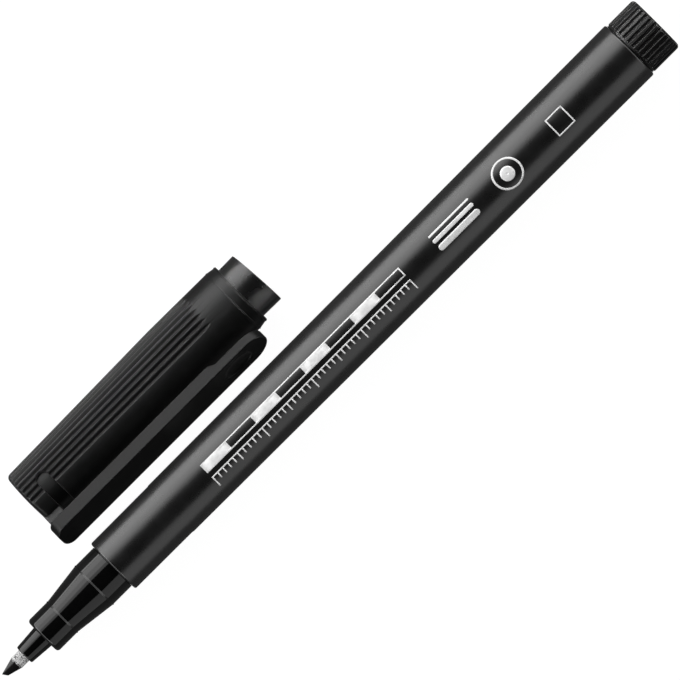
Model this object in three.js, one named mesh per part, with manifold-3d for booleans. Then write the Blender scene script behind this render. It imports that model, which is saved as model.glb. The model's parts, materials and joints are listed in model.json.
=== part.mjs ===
// Permanent marker with its cap off. The pen is a tapered barrel with a ribbed end plug, a
// stepped front section and a fibre nib. The cap lies beside it, with its clip and inner cap.
// Millimetres, +Z up. Pen and cap lie along X, nib and closed cap end toward -X, cap on the +Y
// side. Both rest on Z = 0, and the origin is the middle of the ground under the whole set.

import * as THREE from 'three';
import { mergeVertices } from 'three/addons/utils/BufferGeometryUtils.js';
import Module from 'manifold-3d';

const wasm = await Module();
wasm.setup();

// Barrel
const BARREL_LENGTH = 104.2;
const BARREL_FRONT_DIAMETER = 9.1;
const BARREL_SEAT_LENGTH = 11.5; // slightly slimmer stretch behind the front rim
const BARREL_SEAT_DRAFT = 0.03; // how much the radius grows over the seat
const BARREL_STEP_HEIGHT = 0.065;
const BARREL_STEP_LENGTH = 0.25;
const BARREL_REAR_DIAMETER = 9.9;
const BARREL_RIM_RADIUS = 0.35;
const BARREL_WALL = 0.85;

// Front section, from its front face to the spigot inside the barrel
const SECTION_FRONT_DIAMETER = 6.15;
const SECTION_FRONT_LENGTH = 3.95;
const SECTION_FACE_RADIUS = 0.35; // rounded edge of the front face
const SECTION_CONE_LENGTH = 6.45;
const SECTION_REAR_DIAMETER = 7.74;
const SECTION_REAR_LENGTH = 3.5;
const SECTION_SPIGOT_LENGTH = 9.0;
const SECTION_SPIGOT_WALL = 0.9;
const SECTION_STOP_LENGTH = 1.7; // web between the nib holder and the hollow behind it

// Nib holder, a bush pressed into the front of the section
const HOLDER_TIP_WALL = 0.335; // round the nib
const HOLDER_TAPER = 0.29; // how much the radius grows to the section's face
const HOLDER_SHOWN_LENGTH = 3.75;
const HOLDER_SHANK_LENGTH = 7.5;
const HOLDER_EDGE_RADIUS = 0.2;

// Nib, a fibre rod from the writing tip into the ink reservoir
const NIB_DIAMETER = 2.14;
const NIB_SHOWN_LENGTH = 4.2;
const NIB_CONE_LENGTH = 2.55;
const NIB_TIP_DIAMETER = 0.95;
const NIB_TIP_SLANT = 35; // degrees between the worn writing face and a square cut
const NIB_REACH = 5.0; // how far it goes into the reservoir

// Ink reservoir, a rod of wadding in a film tube
const RESERVOIR_END_GAP = 0.5; // to the section's spigot and to the plug's spigot
const WRAP_THICKNESS = 0.25;

// End plug
const PLUG_INSET = 0.25; // how far the head's surface lies inside the barrel's
const PLUG_HEAD_LENGTH = 5.3;
const PLUG_COLLAR_LENGTH = 0.4;
const PLUG_EDGE_RADIUS = 0.55;
const PLUG_RIBS = 30;
const PLUG_RIB_DEPTH = 0.22;
const PLUG_END_WALL = 1.3;
const PLUG_SPIGOT_LENGTH = 8.0;
const PLUG_SPIGOT_WALL = 1.0;

// Inner cap, the sleeve that seals round the front section
const INNER_CAP_PROJECTION = 3.2; // how far it stands out of the cap's mouth
const INNER_CAP_WALL = 0.7;
const INNER_CAP_DRAFT = 0.4; // how much its radii fall from mouth to closed end
const INNER_CAP_SEAL_LENGTH = 4.0; // straight bore that grips the section
const INNER_CAP_END_WALL = 1.0;
const NIB_TIP_ROOM = 1.5; // between the nib and the inner cap's bottom when the cap is on

// Cap shell
const CAP_LENGTH = 42.6;
const CAP_LIP_WALL = 0.53; // round the inner cap at the mouth
const CAP_LIP_DEPTH = 0.265; // how far the lip narrows to the mouth
const CAP_LIP_LENGTH = 1.3;
const CAP_STRAIGHT_LENGTH = 13.3; // parallel stretch that ends at the mouth
const CAP_TAPER_DEPTH = 0.45; // how much the radius falls from there to the closed end
const CAP_CHAMFER_LENGTH = 1.4;
const CAP_CHAMFER_DEPTH = 0.7;
const CAP_END_WALL = 1.2;
const CAP_SEAT_WIDTH = 0.7; // shoulder inside the shell that the inner cap stops against

// Grooves along the cap shell, which leave a smooth band under the clip
const CAP_GROOVES = 24;
const CAP_GROOVE_PITCH = 10.5; // degrees
const CAP_GROOVE_DEPTH = 0.28;
const CAP_GROOVE_START = 0.45; // from the closed end
const CAP_COLLAR_LENGTH = 6.3; // smooth, from the grooves' points to the mouth
const CAP_GROOVE_POINT_LENGTH = 2.4;
const GROOVE_WIDTH_SHARE = 0.6; // of the pitch, at the surface
const GROOVE_FLOOR_SHARE = 0.24; // of the pitch, at the bottom
const GROOVE_POINT_SHARE = 0.1; // of the groove's width, where it comes to a point

// Vent slot round the shell, under the clip's root
const VENT_FROM_WALL = 1.6; // behind the cap's end wall
const VENT_WIDTH = 2.1;
const VENT_REACH = 80; // degrees to each side of the clip

// Clip
const CLIP_WIDTH = 4.4;
const CLIP_THICKNESS = 2.3;
const CLIP_GAP = 0.75; // under the clip, over the shell's parallel stretch
const CLIP_OVERHANG = 0.4; // past the closed end of the cap
const CLIP_SHORT_OF_MOUTH = 2.0;
const CLIP_TIP_THICKNESS = 1.6;
const CLIP_TIP_LENGTH = 7.7;
const CLIP_STEP_LENGTH = 1.5;
const CLIP_CORNER_RADIUS = 1.3;
const CLIP_DIMPLE_LENGTH = 5.0;
const CLIP_DIMPLE_WIDTH = 2.7;
const CLIP_DIMPLE_DEPTH = 0.3;
const CLIP_DIMPLE_FROM_TIP = 5.5;

// How pen and cap lie
const CAP_TO_PEN_GAP = 1.4; // between the clip and the barrel, seen from above
const CAP_SET_BACK = 2.06; // from the barrel's front rim forward to the cap's closed end
const CLIP_TURN = 55; // degrees from straight up toward the pen

// Clearances
const PRESS_CLEARANCE = 0.12; // round a piece pressed into another
const SLIDE_CLEARANCE = 0.065; // between the inner cap and the section
const SEAM_GAP = 0.3; // between faces that meet end to end

// Fineness of the round shapes
const FACETS = 32;
const ARC_STEPS = 3;
const CLIP_CORNER_STEPS = 8;
const DIMPLE_STEPS = 14;
const WELD_DISTANCE = 1e-5;

const degrees = THREE.MathUtils.degToRad;
const lerp = THREE.MathUtils.lerp;
const flatShare = Math.cos(Math.PI / FACETS); // a facet's distance from the axis over its radius

// Places along the pen, from the barrel's front rim
const shoulder = -SEAM_GAP;
const coneRear = shoulder - SECTION_REAR_LENGTH;
const coneFront = coneRear - SECTION_CONE_LENGTH;
const sectionFace = coneFront - SECTION_FRONT_LENGTH;
const holderTip = sectionFace - HOLDER_SHOWN_LENGTH;
const holderRear = sectionFace + HOLDER_SHANK_LENGTH;
const chamberFront = holderRear + SECTION_STOP_LENGTH;
const nibTip = holderTip - NIB_SHOWN_LENGTH;
const reservoirFront = SECTION_SPIGOT_LENGTH + RESERVOIR_END_GAP;
const plugSpigotFront = BARREL_LENGTH - PLUG_SPIGOT_LENGTH;
const reservoirRear = plugSpigotFront - RESERVOIR_END_GAP;

// Radii along the pen
const seatRadius = BARREL_FRONT_DIAMETER / 2 + BARREL_SEAT_DRAFT;
const stepRadius = seatRadius + BARREL_STEP_HEIGHT;
const barrelRearRadius = BARREL_REAR_DIAMETER / 2;
const barrelRim = Math.min(BARREL_RIM_RADIUS, 0.8 * BARREL_WALL);
const spigotRadius = narrowestBore(0, SECTION_SPIGOT_LENGTH) - PRESS_CLEARANCE;
const plugSpigotRadius = narrowestBore(plugSpigotFront, BARREL_LENGTH) - PRESS_CLEARANCE;
const wrapRadius = narrowestBore(reservoirFront, reservoirRear) - PRESS_CLEARANCE;
const reservoirRadius = wrapRadius - WRAP_THICKNESS - PRESS_CLEARANCE;
const nibRadius = NIB_DIAMETER / 2;
const nibBoreRadius = nibRadius + PRESS_CLEARANCE;
const holderTipRadius = nibBoreRadius + HOLDER_TIP_WALL;
const holderBaseRadius = holderTipRadius + HOLDER_TAPER;
const holderBoreRadius = holderBaseRadius + PRESS_CLEARANCE;
const sectionRearRadius = SECTION_REAR_DIAMETER / 2;

// Places along the cap, from its closed end
const innerCapMouth = CAP_LENGTH + INNER_CAP_PROJECTION;
const innerCapBottom = innerCapMouth + nibTip - NIB_TIP_ROOM;
const innerCapEnd = innerCapBottom - INNER_CAP_END_WALL;
const capTaperEnd = CAP_LENGTH - CAP_STRAIGHT_LENGTH;
const grooveEnd = CAP_LENGTH - CAP_COLLAR_LENGTH;
const ventStart = CAP_END_WALL + VENT_FROM_WALL;
const clipRoot = -CLIP_OVERHANG;
const clipTip = CAP_LENGTH - CLIP_SHORT_OF_MOUTH;

// Radii and heights round the cap's axis
const sealRadius = sectionRearRadius + SLIDE_CLEARANCE;
const innerCapMouthRadius = sealRadius + INNER_CAP_WALL;
const lipRadius = innerCapMouthRadius + PRESS_CLEARANCE + CAP_LIP_WALL;
const capBodyRadius = lipRadius + CAP_LIP_DEPTH;
const capEndRadius = capBodyRadius - CAP_TAPER_DEPTH;
const capSpaceRadius = innerCapMouthRadius - INNER_CAP_DRAFT - CAP_SEAT_WIDTH;
const clipUnderside = capBodyRadius + CLIP_GAP;
const clipTop = clipUnderside + CLIP_THICKNESS;

// Radius of the barrel's bore, which follows the outside at one wall's distance
function barrelBore(along) {
  const front = BARREL_FRONT_DIAMETER / 2 - BARREL_WALL;
  return lerp(front, BARREL_REAR_DIAMETER / 2 - BARREL_WALL, along / BARREL_LENGTH);
}

function narrowestBore(from, to) {
  return Math.min(barrelBore(from), barrelBore(to));
}

// Outer radius of the inner cap at a place along the cap
function innerCapRadius(along) {
  const depth = (innerCapMouth - along) / (innerCapMouth - innerCapEnd);
  return innerCapMouthRadius - INNER_CAP_DRAFT * depth;
}

// Outer radius of the cap shell over the crests: end chamfer, taper, parallel stretch, lip
function capRadius(along) {
  if (along < CAP_CHAMFER_LENGTH) {
    return capEndRadius - CAP_CHAMFER_DEPTH * (1 - along / CAP_CHAMFER_LENGTH);
  }
  const lip = Math.max(0, 1 - (CAP_LENGTH - along) / CAP_LIP_LENGTH);
  const taper = (along - CAP_CHAMFER_LENGTH) / (capTaperEnd - CAP_CHAMFER_LENGTH);
  return lerp(capEndRadius, capBodyRadius, Math.min(taper, 1)) - CAP_LIP_DEPTH * lip;
}

// Points of a quarter circle about [along, radius], from one angle to another in degrees
function corner(along, radius, size, from, to) {
  const points = [];
  for (let step = 0; step <= ARC_STEPS; step += 1) {
    const angle = degrees(lerp(from, to, step / ARC_STEPS));
    points.push([along + size * Math.cos(angle), radius + size * Math.sin(angle)]);
  }
  return points;
}

// Body turned about X from [along, radius] points, with a flat facet at top and bottom
function turned(profile) {
  const points = profile.map(([along, radius]) => new THREE.Vector2(radius, along));
  const lathe = new THREE.LatheGeometry(points, FACETS, Math.PI / FACETS);
  return lathe.rotateZ(-Math.PI / 2);
}

// The same for a hollow body, whose profile closes on itself
function turnedRing(profile) {
  return turned([...profile, profile[0]]);
}

// Closed body through rings along X that all have the same number of points
function loft(rings) {
  const count = rings[0].length;
  const last = (rings.length - 1) * count;
  const points = rings.flat();
  const firstMiddle = points.length;
  points.push(new THREE.Vector3(rings[0][0].x, 0, 0));
  points.push(new THREE.Vector3(rings.at(-1)[0].x, 0, 0));
  const triangles = [];
  for (let i = 0; i < count; i += 1) {
    const next = (i + 1) % count;
    for (let start = 0; start < last; start += count) {
      const above = start + count;
      triangles.push(start + i, above + i, start + next);
      triangles.push(start + next, above + i, above + next);
    }
    triangles.push(firstMiddle, i, next);
    triangles.push(firstMiddle + 1, last + next, last + i);
  }
  const geometry = new THREE.BufferGeometry().setFromPoints(points);
  geometry.setIndex(triangles);
  return geometry;
}

// Angles round a ribbed body, with the groove in the middle of each pitch: cut is 1 at its floor
function grooveAngles(count, pitch, start) {
  const edge = (GROOVE_WIDTH_SHARE * pitch) / 2;
  const floor = (GROOVE_FLOOR_SHARE * pitch) / 2;
  const angles = [];
  for (let groove = 0; groove < count; groove += 1) {
    const middle = start + (groove + 0.5) * pitch;
    angles.push({ middle, offset: -edge, cut: 0 }, { middle, offset: -floor, cut: 1 });
    angles.push({ middle, offset: floor, cut: 1 }, { middle, offset: edge, cut: 0 });
  }
  return angles;
}

// One ring of a ribbed body; width is 1 where the grooves are full and less toward their points
function ribbedRing(angles, along, radius, depth, width = 1) {
  return angles.map(({ middle, offset, cut }) => {
    const angle = degrees(middle + offset * width);
    const reach = radius - cut * depth;
    return new THREE.Vector3(along, reach * Math.sin(angle), reach * Math.cos(angle));
  });
}

// Solid for joining and cutting, from a geometry of closed faces
function solid(geometry) {
  const bare = geometry.clone();
  bare.deleteAttribute('normal');
  bare.deleteAttribute('uv');
  const merged = mergeVertices(bare, WELD_DISTANCE);
  const triangles = [];
  for (let i = 0; i < merged.index.count; i += 3) {
    const [a, b, c] = [0, 1, 2].map((k) => merged.index.getX(i + k));
    if (a !== b && b !== c && c !== a) triangles.push(a, b, c);
  }
  const mesh = new wasm.Mesh({
    numProp: 3,
    vertProperties: Float32Array.from(merged.attributes.position.array),
    triVerts: Uint32Array.from(triangles),
  });
  return new wasm.Manifold(mesh);
}

// Geometry of a joined or cut solid
function geometryOf(joined) {
  const mesh = joined.getMesh();
  const geometry = new THREE.BufferGeometry();
  geometry.setAttribute('position', new THREE.BufferAttribute(mesh.vertProperties, 3));
  geometry.setIndex(new THREE.BufferAttribute(mesh.triVerts, 1));
  geometry.computeVertexNormals();
  return geometry;
}

// Outline drawn in Y and Z, extruded along X from the given place
function extrudedAlong(shape, from, depth) {
  const geometry = new THREE.ExtrudeGeometry(shape, { depth, bevelEnabled: false, curveSegments: FACETS });
  const across = new THREE.Vector3(0, 1, 0);
  const up = new THREE.Vector3(0, 0, 1);
  const along = new THREE.Vector3(1, 0, 0);
  geometry.applyMatrix4(new THREE.Matrix4().makeBasis(across, up, along));
  return geometry.translate(from, 0, 0);
}

function barrelGeometry() {
  const front = BARREL_FRONT_DIAMETER / 2;
  return turnedRing([
    ...corner(barrelRim, front - barrelRim, barrelRim, 180, 90),
    [BARREL_SEAT_LENGTH, seatRadius],
    [BARREL_SEAT_LENGTH + BARREL_STEP_LENGTH, stepRadius],
    ...corner(BARREL_LENGTH - barrelRim, barrelRearRadius - barrelRim, barrelRim, 90, 0),
    [BARREL_LENGTH, barrelBore(BARREL_LENGTH)],
    [0, barrelBore(0)],
  ]);
}

function sectionGeometry() {
  const front = SECTION_FRONT_DIAMETER / 2;
  const edge = SECTION_FACE_RADIUS;
  const chamber = Math.min(spigotRadius, sectionRearRadius) - SECTION_SPIGOT_WALL;
  return turnedRing([
    [sectionFace, holderBoreRadius],
    ...corner(sectionFace + edge, front - edge, edge, 180, 90),
    [coneFront, front],
    [coneRear, sectionRearRadius],
    [shoulder, sectionRearRadius],
    [shoulder, spigotRadius],
    [SECTION_SPIGOT_LENGTH, spigotRadius],
    [SECTION_SPIGOT_LENGTH, chamber],
    [chamberFront, chamber],
    [chamberFront, holderBoreRadius],
  ]);
}

function holderGeometry() {
  const edge = Math.min(HOLDER_EDGE_RADIUS, 0.8 * HOLDER_TIP_WALL);
  return turnedRing([
    [holderTip, nibBoreRadius],
    ...corner(holderTip + edge, holderTipRadius - edge, edge, 180, 90),
    [sectionFace, holderBaseRadius],
    [holderRear, holderBaseRadius],
    [holderRear, nibBoreRadius],
  ]);
}

// Rod with a cone, whose blunt tip is cut at a slant
function nibGeometry() {
  const rod = turned([
    [nibTip, 0],
    [nibTip, NIB_TIP_DIAMETER / 2],
    [nibTip + NIB_CONE_LENGTH, nibRadius],
    [reservoirFront + NIB_REACH, nibRadius],
    [reservoirFront + NIB_REACH, 0],
  ]);
  const knife = new THREE.BoxGeometry(NIB_CONE_LENGTH, 2 * NIB_DIAMETER, 2 * NIB_DIAMETER);
  knife.translate(-NIB_CONE_LENGTH / 2, 0, 0);
  knife.rotateZ(degrees(NIB_TIP_SLANT));
  knife.translate(nibTip, NIB_TIP_DIAMETER / 2, 0);
  return geometryOf(solid(rod).subtract(solid(knife)));
}

function reservoirGeometry() {
  const pocket = reservoirFront + NIB_REACH + SEAM_GAP;
  return turned([
    [pocket, 0],
    [pocket, nibBoreRadius],
    [reservoirFront, nibBoreRadius],
    [reservoirFront, reservoirRadius],
    [reservoirRear, reservoirRadius],
    [reservoirRear, 0],
  ]);
}

function wrapGeometry() {
  return turnedRing([
    [reservoirFront, wrapRadius - WRAP_THICKNESS],
    [reservoirFront, wrapRadius],
    [reservoirRear, wrapRadius],
    [reservoirRear, wrapRadius - WRAP_THICKNESS],
  ]);
}

// Ribbed head with a plain collar against the barrel, on a hollow spigot inside the barrel
function plugGeometry() {
  const front = BARREL_LENGTH + SEAM_GAP;
  const rear = front + PLUG_HEAD_LENGTH;
  const ribs = front + PLUG_COLLAR_LENGTH;
  const radius = barrelRearRadius - PLUG_INSET;
  const edge = PLUG_EDGE_RADIUS;
  const angles = grooveAngles(PLUG_RIBS, 360 / PLUG_RIBS, 0);
  const rounded = corner(rear - edge, radius - edge, edge, 90, 0).slice(0, -1);
  const head = loft([
    ribbedRing(angles, front, radius, 0),
    ribbedRing(angles, ribs, radius, 0),
    ribbedRing(angles, ribs + PLUG_RIB_DEPTH / 2, radius, PLUG_RIB_DEPTH),
    ...rounded.map(([along, reach]) => ribbedRing(angles, along, reach, PLUG_RIB_DEPTH)),
    ribbedRing(angles, rear, radius - edge, 0),
  ]);
  const seated = (front + rear) / 2;
  const outside = plugSpigotRadius;
  const spigot = turned([
    [plugSpigotFront, 0],
    [plugSpigotFront, outside],
    [seated, outside],
    [seated, 0],
  ]);
  const inside = outside - PLUG_SPIGOT_WALL;
  const open = plugSpigotFront - SEAM_GAP;
  const bottom = rear - PLUG_END_WALL;
  const hollow = turned([[open, 0], [open, inside], [bottom, inside], [bottom, 0]]);
  return geometryOf(solid(head).add(solid(spigot)).subtract(solid(hollow)));
}

// Angles round the cap shell: the grooves, and plain points over the smooth band under the clip
function capAngles() {
  const smooth = 360 - CAP_GROOVES * CAP_GROOVE_PITCH;
  const angles = grooveAngles(CAP_GROOVES, CAP_GROOVE_PITCH, smooth / 2);
  const steps = Math.max(1, Math.round(smooth / CAP_GROOVE_PITCH));
  for (let step = 0; step < steps; step += 1) {
    angles.push({ middle: (smooth * (step + 0.5)) / steps - smooth / 2, offset: 0, cut: 0 });
  }
  return angles;
}

// Outside of the cap shell, with grooves that start on the chamfer and run out to points
function cappedOutside() {
  const angles = capAngles();
  const cutFrom = CAP_GROOVE_START + CAP_GROOVE_DEPTH;
  const cutTo = grooveEnd - CAP_GROOVE_POINT_LENGTH;
  const lipStart = CAP_LENGTH - CAP_LIP_LENGTH;
  const stations = [0, CAP_GROOVE_START, cutFrom, CAP_CHAMFER_LENGTH, capTaperEnd, cutTo];
  stations.push(grooveEnd, lipStart, CAP_LENGTH);
  stations.sort((one, other) => one - other);
  return loft(stations.map((along) => {
    const runOut = THREE.MathUtils.clamp((along - cutTo) / CAP_GROOVE_POINT_LENGTH, 0, 1);
    const depth = along < cutFrom ? 0 : CAP_GROOVE_DEPTH * (1 - runOut);
    return ribbedRing(angles, along, capRadius(along), depth, lerp(1, GROOVE_POINT_SHARE, runOut));
  }));
}

// Bore that takes the inner cap down to its seat, and the space behind it
function capBore() {
  const seat = innerCapEnd - SEAM_GAP;
  return turned([
    [CAP_END_WALL, 0],
    [CAP_END_WALL, capSpaceRadius],
    [seat, capSpaceRadius],
    [seat, innerCapRadius(seat) + PRESS_CLEARANCE],
    [innerCapMouth, innerCapMouthRadius + PRESS_CLEARANCE],
    [innerCapMouth, 0],
  ]);
}

// Slot round the shell under the clip, with round ends
function ventCutter() {
  const inside = capSpaceRadius / 2;
  const outside = 2 * capBodyRadius;
  const turn = degrees(VENT_REACH) - VENT_WIDTH / 2 / capRadius(ventStart);
  const sector = new THREE.Shape();
  sector.absarc(0, 0, outside, Math.PI / 2 - turn, Math.PI / 2 + turn, false);
  sector.absarc(0, 0, inside, Math.PI / 2 + turn, Math.PI / 2 - turn, true);
  let cutter = solid(extrudedAlong(sector, ventStart, VENT_WIDTH));
  for (const side of [-turn, turn]) {
    const radius = VENT_WIDTH / 2;
    const end = new THREE.CylinderGeometry(radius, radius, outside - inside, FACETS / 2);
    end.translate(0, (outside + inside) / 2, 0);
    end.rotateX(Math.PI / 2 + side);
    end.translate(ventStart + radius, 0, 0);
    cutter = cutter.add(solid(end));
  }
  return cutter;
}

// Block that stands up from the shell to the clip's root
function clipBridge() {
  const top = clipUnderside - SEAM_GAP;
  const bottom = capSpaceRadius / 2;
  const bridge = new THREE.BoxGeometry(ventStart, CLIP_WIDTH, top - bottom);
  return bridge.translate(ventStart / 2, 0, (top + bottom) / 2);
}

function shellGeometry() {
  const outside = solid(cappedOutside()).add(solid(clipBridge()));
  return geometryOf(outside.subtract(solid(capBore())).subtract(ventCutter()));
}

function innerCapGeometry() {
  return turned([
    [innerCapEnd, 0],
    [innerCapEnd, innerCapRadius(innerCapEnd)],
    [innerCapMouth, innerCapMouthRadius],
    [innerCapMouth, sealRadius],
    [innerCapMouth - INNER_CAP_SEAL_LENGTH, sealRadius],
    [innerCapBottom, sealRadius - INNER_CAP_DRAFT],
    [innerCapBottom, 0],
  ]);
}

// Outline of the clip from above: round corners at the root and a half-round tip
function clipPlan() {
  const half = CLIP_WIDTH / 2;
  const round = Math.min(CLIP_CORNER_RADIUS, half);
  const plan = new THREE.Shape();
  plan.absarc(clipTip - half, 0, half, -Math.PI / 2, Math.PI / 2, false);
  plan.absarc(clipRoot + round, half - round, round, Math.PI / 2, Math.PI, false);
  plan.absarc(clipRoot + round, round - half, round, Math.PI, Math.PI * 1.5, false);
  return plan;
}

// Side outline of the clip: thick arm, then a step up to the thinner tip
function clipSide() {
  const thin = clipTip - CLIP_TIP_LENGTH;
  const tipUnderside = clipTop - CLIP_TIP_THICKNESS;
  const side = new THREE.Shape();
  side.moveTo(clipRoot, clipUnderside);
  side.lineTo(thin - CLIP_STEP_LENGTH, clipUnderside);
  side.lineTo(thin, tipUnderside);
  side.lineTo(clipTip, tipUnderside);
  side.lineTo(clipTip, clipTop);
  side.lineTo(clipRoot, clipTop);
  return side;
}

function clipGeometry() {
  const upright = { depth: 2 * clipTop, bevelEnabled: false, curveSegments: CLIP_CORNER_STEPS };
  const plan = new THREE.ExtrudeGeometry(clipPlan(), upright);
  const side = new THREE.ExtrudeGeometry(clipSide(), { depth: 2 * CLIP_WIDTH, bevelEnabled: false });
  side.rotateX(Math.PI / 2);
  side.translate(0, CLIP_WIDTH, 0);
  const dimple = new THREE.SphereGeometry(1, DIMPLE_STEPS, DIMPLE_STEPS);
  dimple.scale(CLIP_DIMPLE_LENGTH / 2, CLIP_DIMPLE_WIDTH / 2, CLIP_DIMPLE_DEPTH);
  dimple.translate(clipTip - CLIP_DIMPLE_FROM_TIP, 0, clipTop);
  return geometryOf(solid(plan).intersect(solid(side)).subtract(solid(dimple)));
}

// Black plastics and the fibre, as the photograph shows them
const finishes = {
  satin: { color: 0x242426, roughness: 0.42, metalness: 0 },
  glossy: { color: 0x101011, roughness: 0.18, metalness: 0 },
  matte: { color: 0x1d1d1e, roughness: 0.6, metalness: 0 },
  fibre: { color: 0xb4b4b2, roughness: 0.9, metalness: 0 },
  wadding: { color: 0x3a3a3c, roughness: 1, metalness: 0 },
  film: { color: 0xd8dade, roughness: 0.25, metalness: 0 },
};

function named(name, geometry, finish) {
  const mesh = new THREE.Mesh(geometry, new THREE.MeshStandardMaterial(finishes[finish]));
  mesh.name = name;
  return mesh;
}

// Lifts or lowers a group until its lowest point is at height 0
function restOnGround(group) {
  const box = new THREE.Box3().setFromObject(group, true);
  group.position.z -= box.min.z;
}

// The pen leans by its barrel's taper, so that the barrel's underside lies along the ground
function buildPen() {
  const pen = new THREE.Group();
  pen.add(named('barrel', barrelGeometry(), 'satin'));
  pen.add(named('front_section', sectionGeometry(), 'glossy'));
  pen.add(named('nib_holder', holderGeometry(), 'glossy'));
  pen.add(named('nib', nibGeometry(), 'fibre'));
  pen.add(named('ink_reservoir', reservoirGeometry(), 'wadding'));
  pen.add(named('reservoir_wrap', wrapGeometry(), 'film'));
  pen.add(named('end_plug', plugGeometry(), 'matte'));
  const run = BARREL_LENGTH - barrelRim - BARREL_SEAT_LENGTH - BARREL_STEP_LENGTH;
  pen.rotation.y = -Math.atan(((barrelRearRadius - stepRadius) * flatShare) / run);
  restOnGround(pen);
  return pen;
}

// The cap leans the same way and is turned until its clip leans over the pen
function buildCap() {
  const turnedCap = new THREE.Group();
  turnedCap.add(named('cap_shell', shellGeometry(), 'matte'));
  turnedCap.add(named('cap_clip', clipGeometry(), 'matte'));
  turnedCap.add(named('inner_cap', innerCapGeometry(), 'satin'));
  const turn = degrees(CLIP_TURN);
  turnedCap.rotation.x = turn;
  const cap = new THREE.Group();
  cap.add(turnedCap);
  cap.rotation.y = -Math.atan(CAP_TAPER_DEPTH / (capTaperEnd - CAP_CHAMFER_LENGTH));
  const clipReach = clipTop * Math.sin(turn) + (CLIP_WIDTH / 2) * Math.cos(turn);
  cap.position.set(-CAP_SET_BACK, barrelRearRadius + CAP_TO_PEN_GAP + clipReach, 0);
  restOnGround(cap);
  return cap;
}

const marker = new THREE.Group();
marker.add(buildPen(), buildCap());
const middle = new THREE.Box3().setFromObject(marker, true).getCenter(new THREE.Vector3());
marker.position.set(-middle.x, -middle.y, 0);
marker.updateMatrixWorld(true);

export default marker;
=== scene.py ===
"""Looks of a permanent marker that lies uncapped beside its cap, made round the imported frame.

Every piece is built in the pen's or the cap's own axes, with X along it, and is then set in its
place in the frame. An outline is a list of (along, radius) points. Sizes are in metres.
"""

import json
import math

import bmesh
import bpy
from bpy.props import FloatProperty, FloatVectorProperty, IntProperty, PointerProperty
from bpy.types import Operator, Panel, PropertyGroup
from mathutils import Matrix, Vector


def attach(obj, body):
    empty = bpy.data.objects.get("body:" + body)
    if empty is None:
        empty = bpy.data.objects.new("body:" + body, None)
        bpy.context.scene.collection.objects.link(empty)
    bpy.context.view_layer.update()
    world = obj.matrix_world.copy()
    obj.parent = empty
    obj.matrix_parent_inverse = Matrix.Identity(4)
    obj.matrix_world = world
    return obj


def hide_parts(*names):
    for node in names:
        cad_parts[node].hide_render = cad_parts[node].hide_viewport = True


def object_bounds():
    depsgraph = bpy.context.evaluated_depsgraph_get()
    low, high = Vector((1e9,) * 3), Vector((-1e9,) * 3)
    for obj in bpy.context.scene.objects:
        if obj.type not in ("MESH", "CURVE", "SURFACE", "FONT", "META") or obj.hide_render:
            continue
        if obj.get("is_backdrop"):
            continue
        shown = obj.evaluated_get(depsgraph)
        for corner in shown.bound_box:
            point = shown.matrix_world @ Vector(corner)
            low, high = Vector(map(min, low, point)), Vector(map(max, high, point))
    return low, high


bl_info = {
    "name": "Marker Looks",
    "version": (1, 0, 0),
    "blender": (4, 5, 0),
    "location": "View3D > Sidebar > Marker",
    "description": "Builds the visible pieces, finishes and studio of a permanent marker",
    "category": "Object",
}

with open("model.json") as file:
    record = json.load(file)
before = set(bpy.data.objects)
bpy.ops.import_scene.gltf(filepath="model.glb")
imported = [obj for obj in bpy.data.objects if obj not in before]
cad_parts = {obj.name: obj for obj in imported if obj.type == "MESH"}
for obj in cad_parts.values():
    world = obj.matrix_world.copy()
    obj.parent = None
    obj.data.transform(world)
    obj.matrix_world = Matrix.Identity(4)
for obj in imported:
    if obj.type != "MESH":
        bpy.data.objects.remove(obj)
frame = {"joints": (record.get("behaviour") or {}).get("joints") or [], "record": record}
cad_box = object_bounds()

MM = 0.001
MICRON = 0.000001
FRAME_FACETS = 32  # flats round the frame's turned pieces
FLAT_SHARE = math.cos(math.pi / FRAME_FACETS)  # inscribed circle over corner circle
CAP_SHARE = 0.9985  # the same for the cap shell, whose facets are narrower
ARC_STEPS = 6  # steps round a rounded corner
TURN_COLUMNS = 192  # columns round a turned piece
NIB_COLUMNS = 96  # columns round the nib
RIB_COLUMNS = 14  # columns over each rib of the plug
GROOVE_COLUMNS = 20  # columns over each groove of the cap
BAND_COLUMNS = 108  # columns over the smooth band under the clip
WELD_DISTANCE = 1e-7
THIN_EDGE = 0.05 * MM  # rounding of thin rims
HIDDEN_EDGE = 0.1 * MM  # rounding of edges inside the pen and the cap
SLOT_STRIP = 0.15 * MM  # strip beside the vent slot that keeps its edge crisp
GROOVE_LEAD = 0.3 * MM  # over which the cap's grooves deepen at their start
RIB_LEAD = 0.16 * MM  # the same between the plug's ribs
GROOVE_EDGE = 0.41  # from the middle of a groove of the cap to its edge, as a share of its pitch
RIB_EDGE = 0.26  # the same between the plug's ribs
GROOVE_BOTTOM = 0.03  # from a groove's middle to the foot of its slope, as the same share
GROOVE_TIP = 0.02  # width of a groove's point, as a share of the full groove
GROOVE_CRISPNESS = 0.6  # share of straight slope in a groove's sides, next to a rounded one
PEN_SET = "Lit as the pen"
SLEEVE_SET = "Lit as the inner cap"
MATT_SET = "Lit as the matt pieces"


# Property groups

def length(name, description, millimetres):
    """Length property whose default is given in millimetres."""
    return FloatProperty(
        name=name, description=description, default=millimetres * MM, min=0.0,
        precision=5, unit="LENGTH",
    )


def turn(name, description, degrees):
    """Angle property whose default is given in degrees."""
    return FloatProperty(
        name=name, description=description, default=math.radians(degrees), unit="ROTATION"
    )


def level(name, description, default, most=1.0):
    """Plain number from 0 up to a limit."""
    return FloatProperty(name=name, description=description, default=default, min=0.0, max=most)


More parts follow.
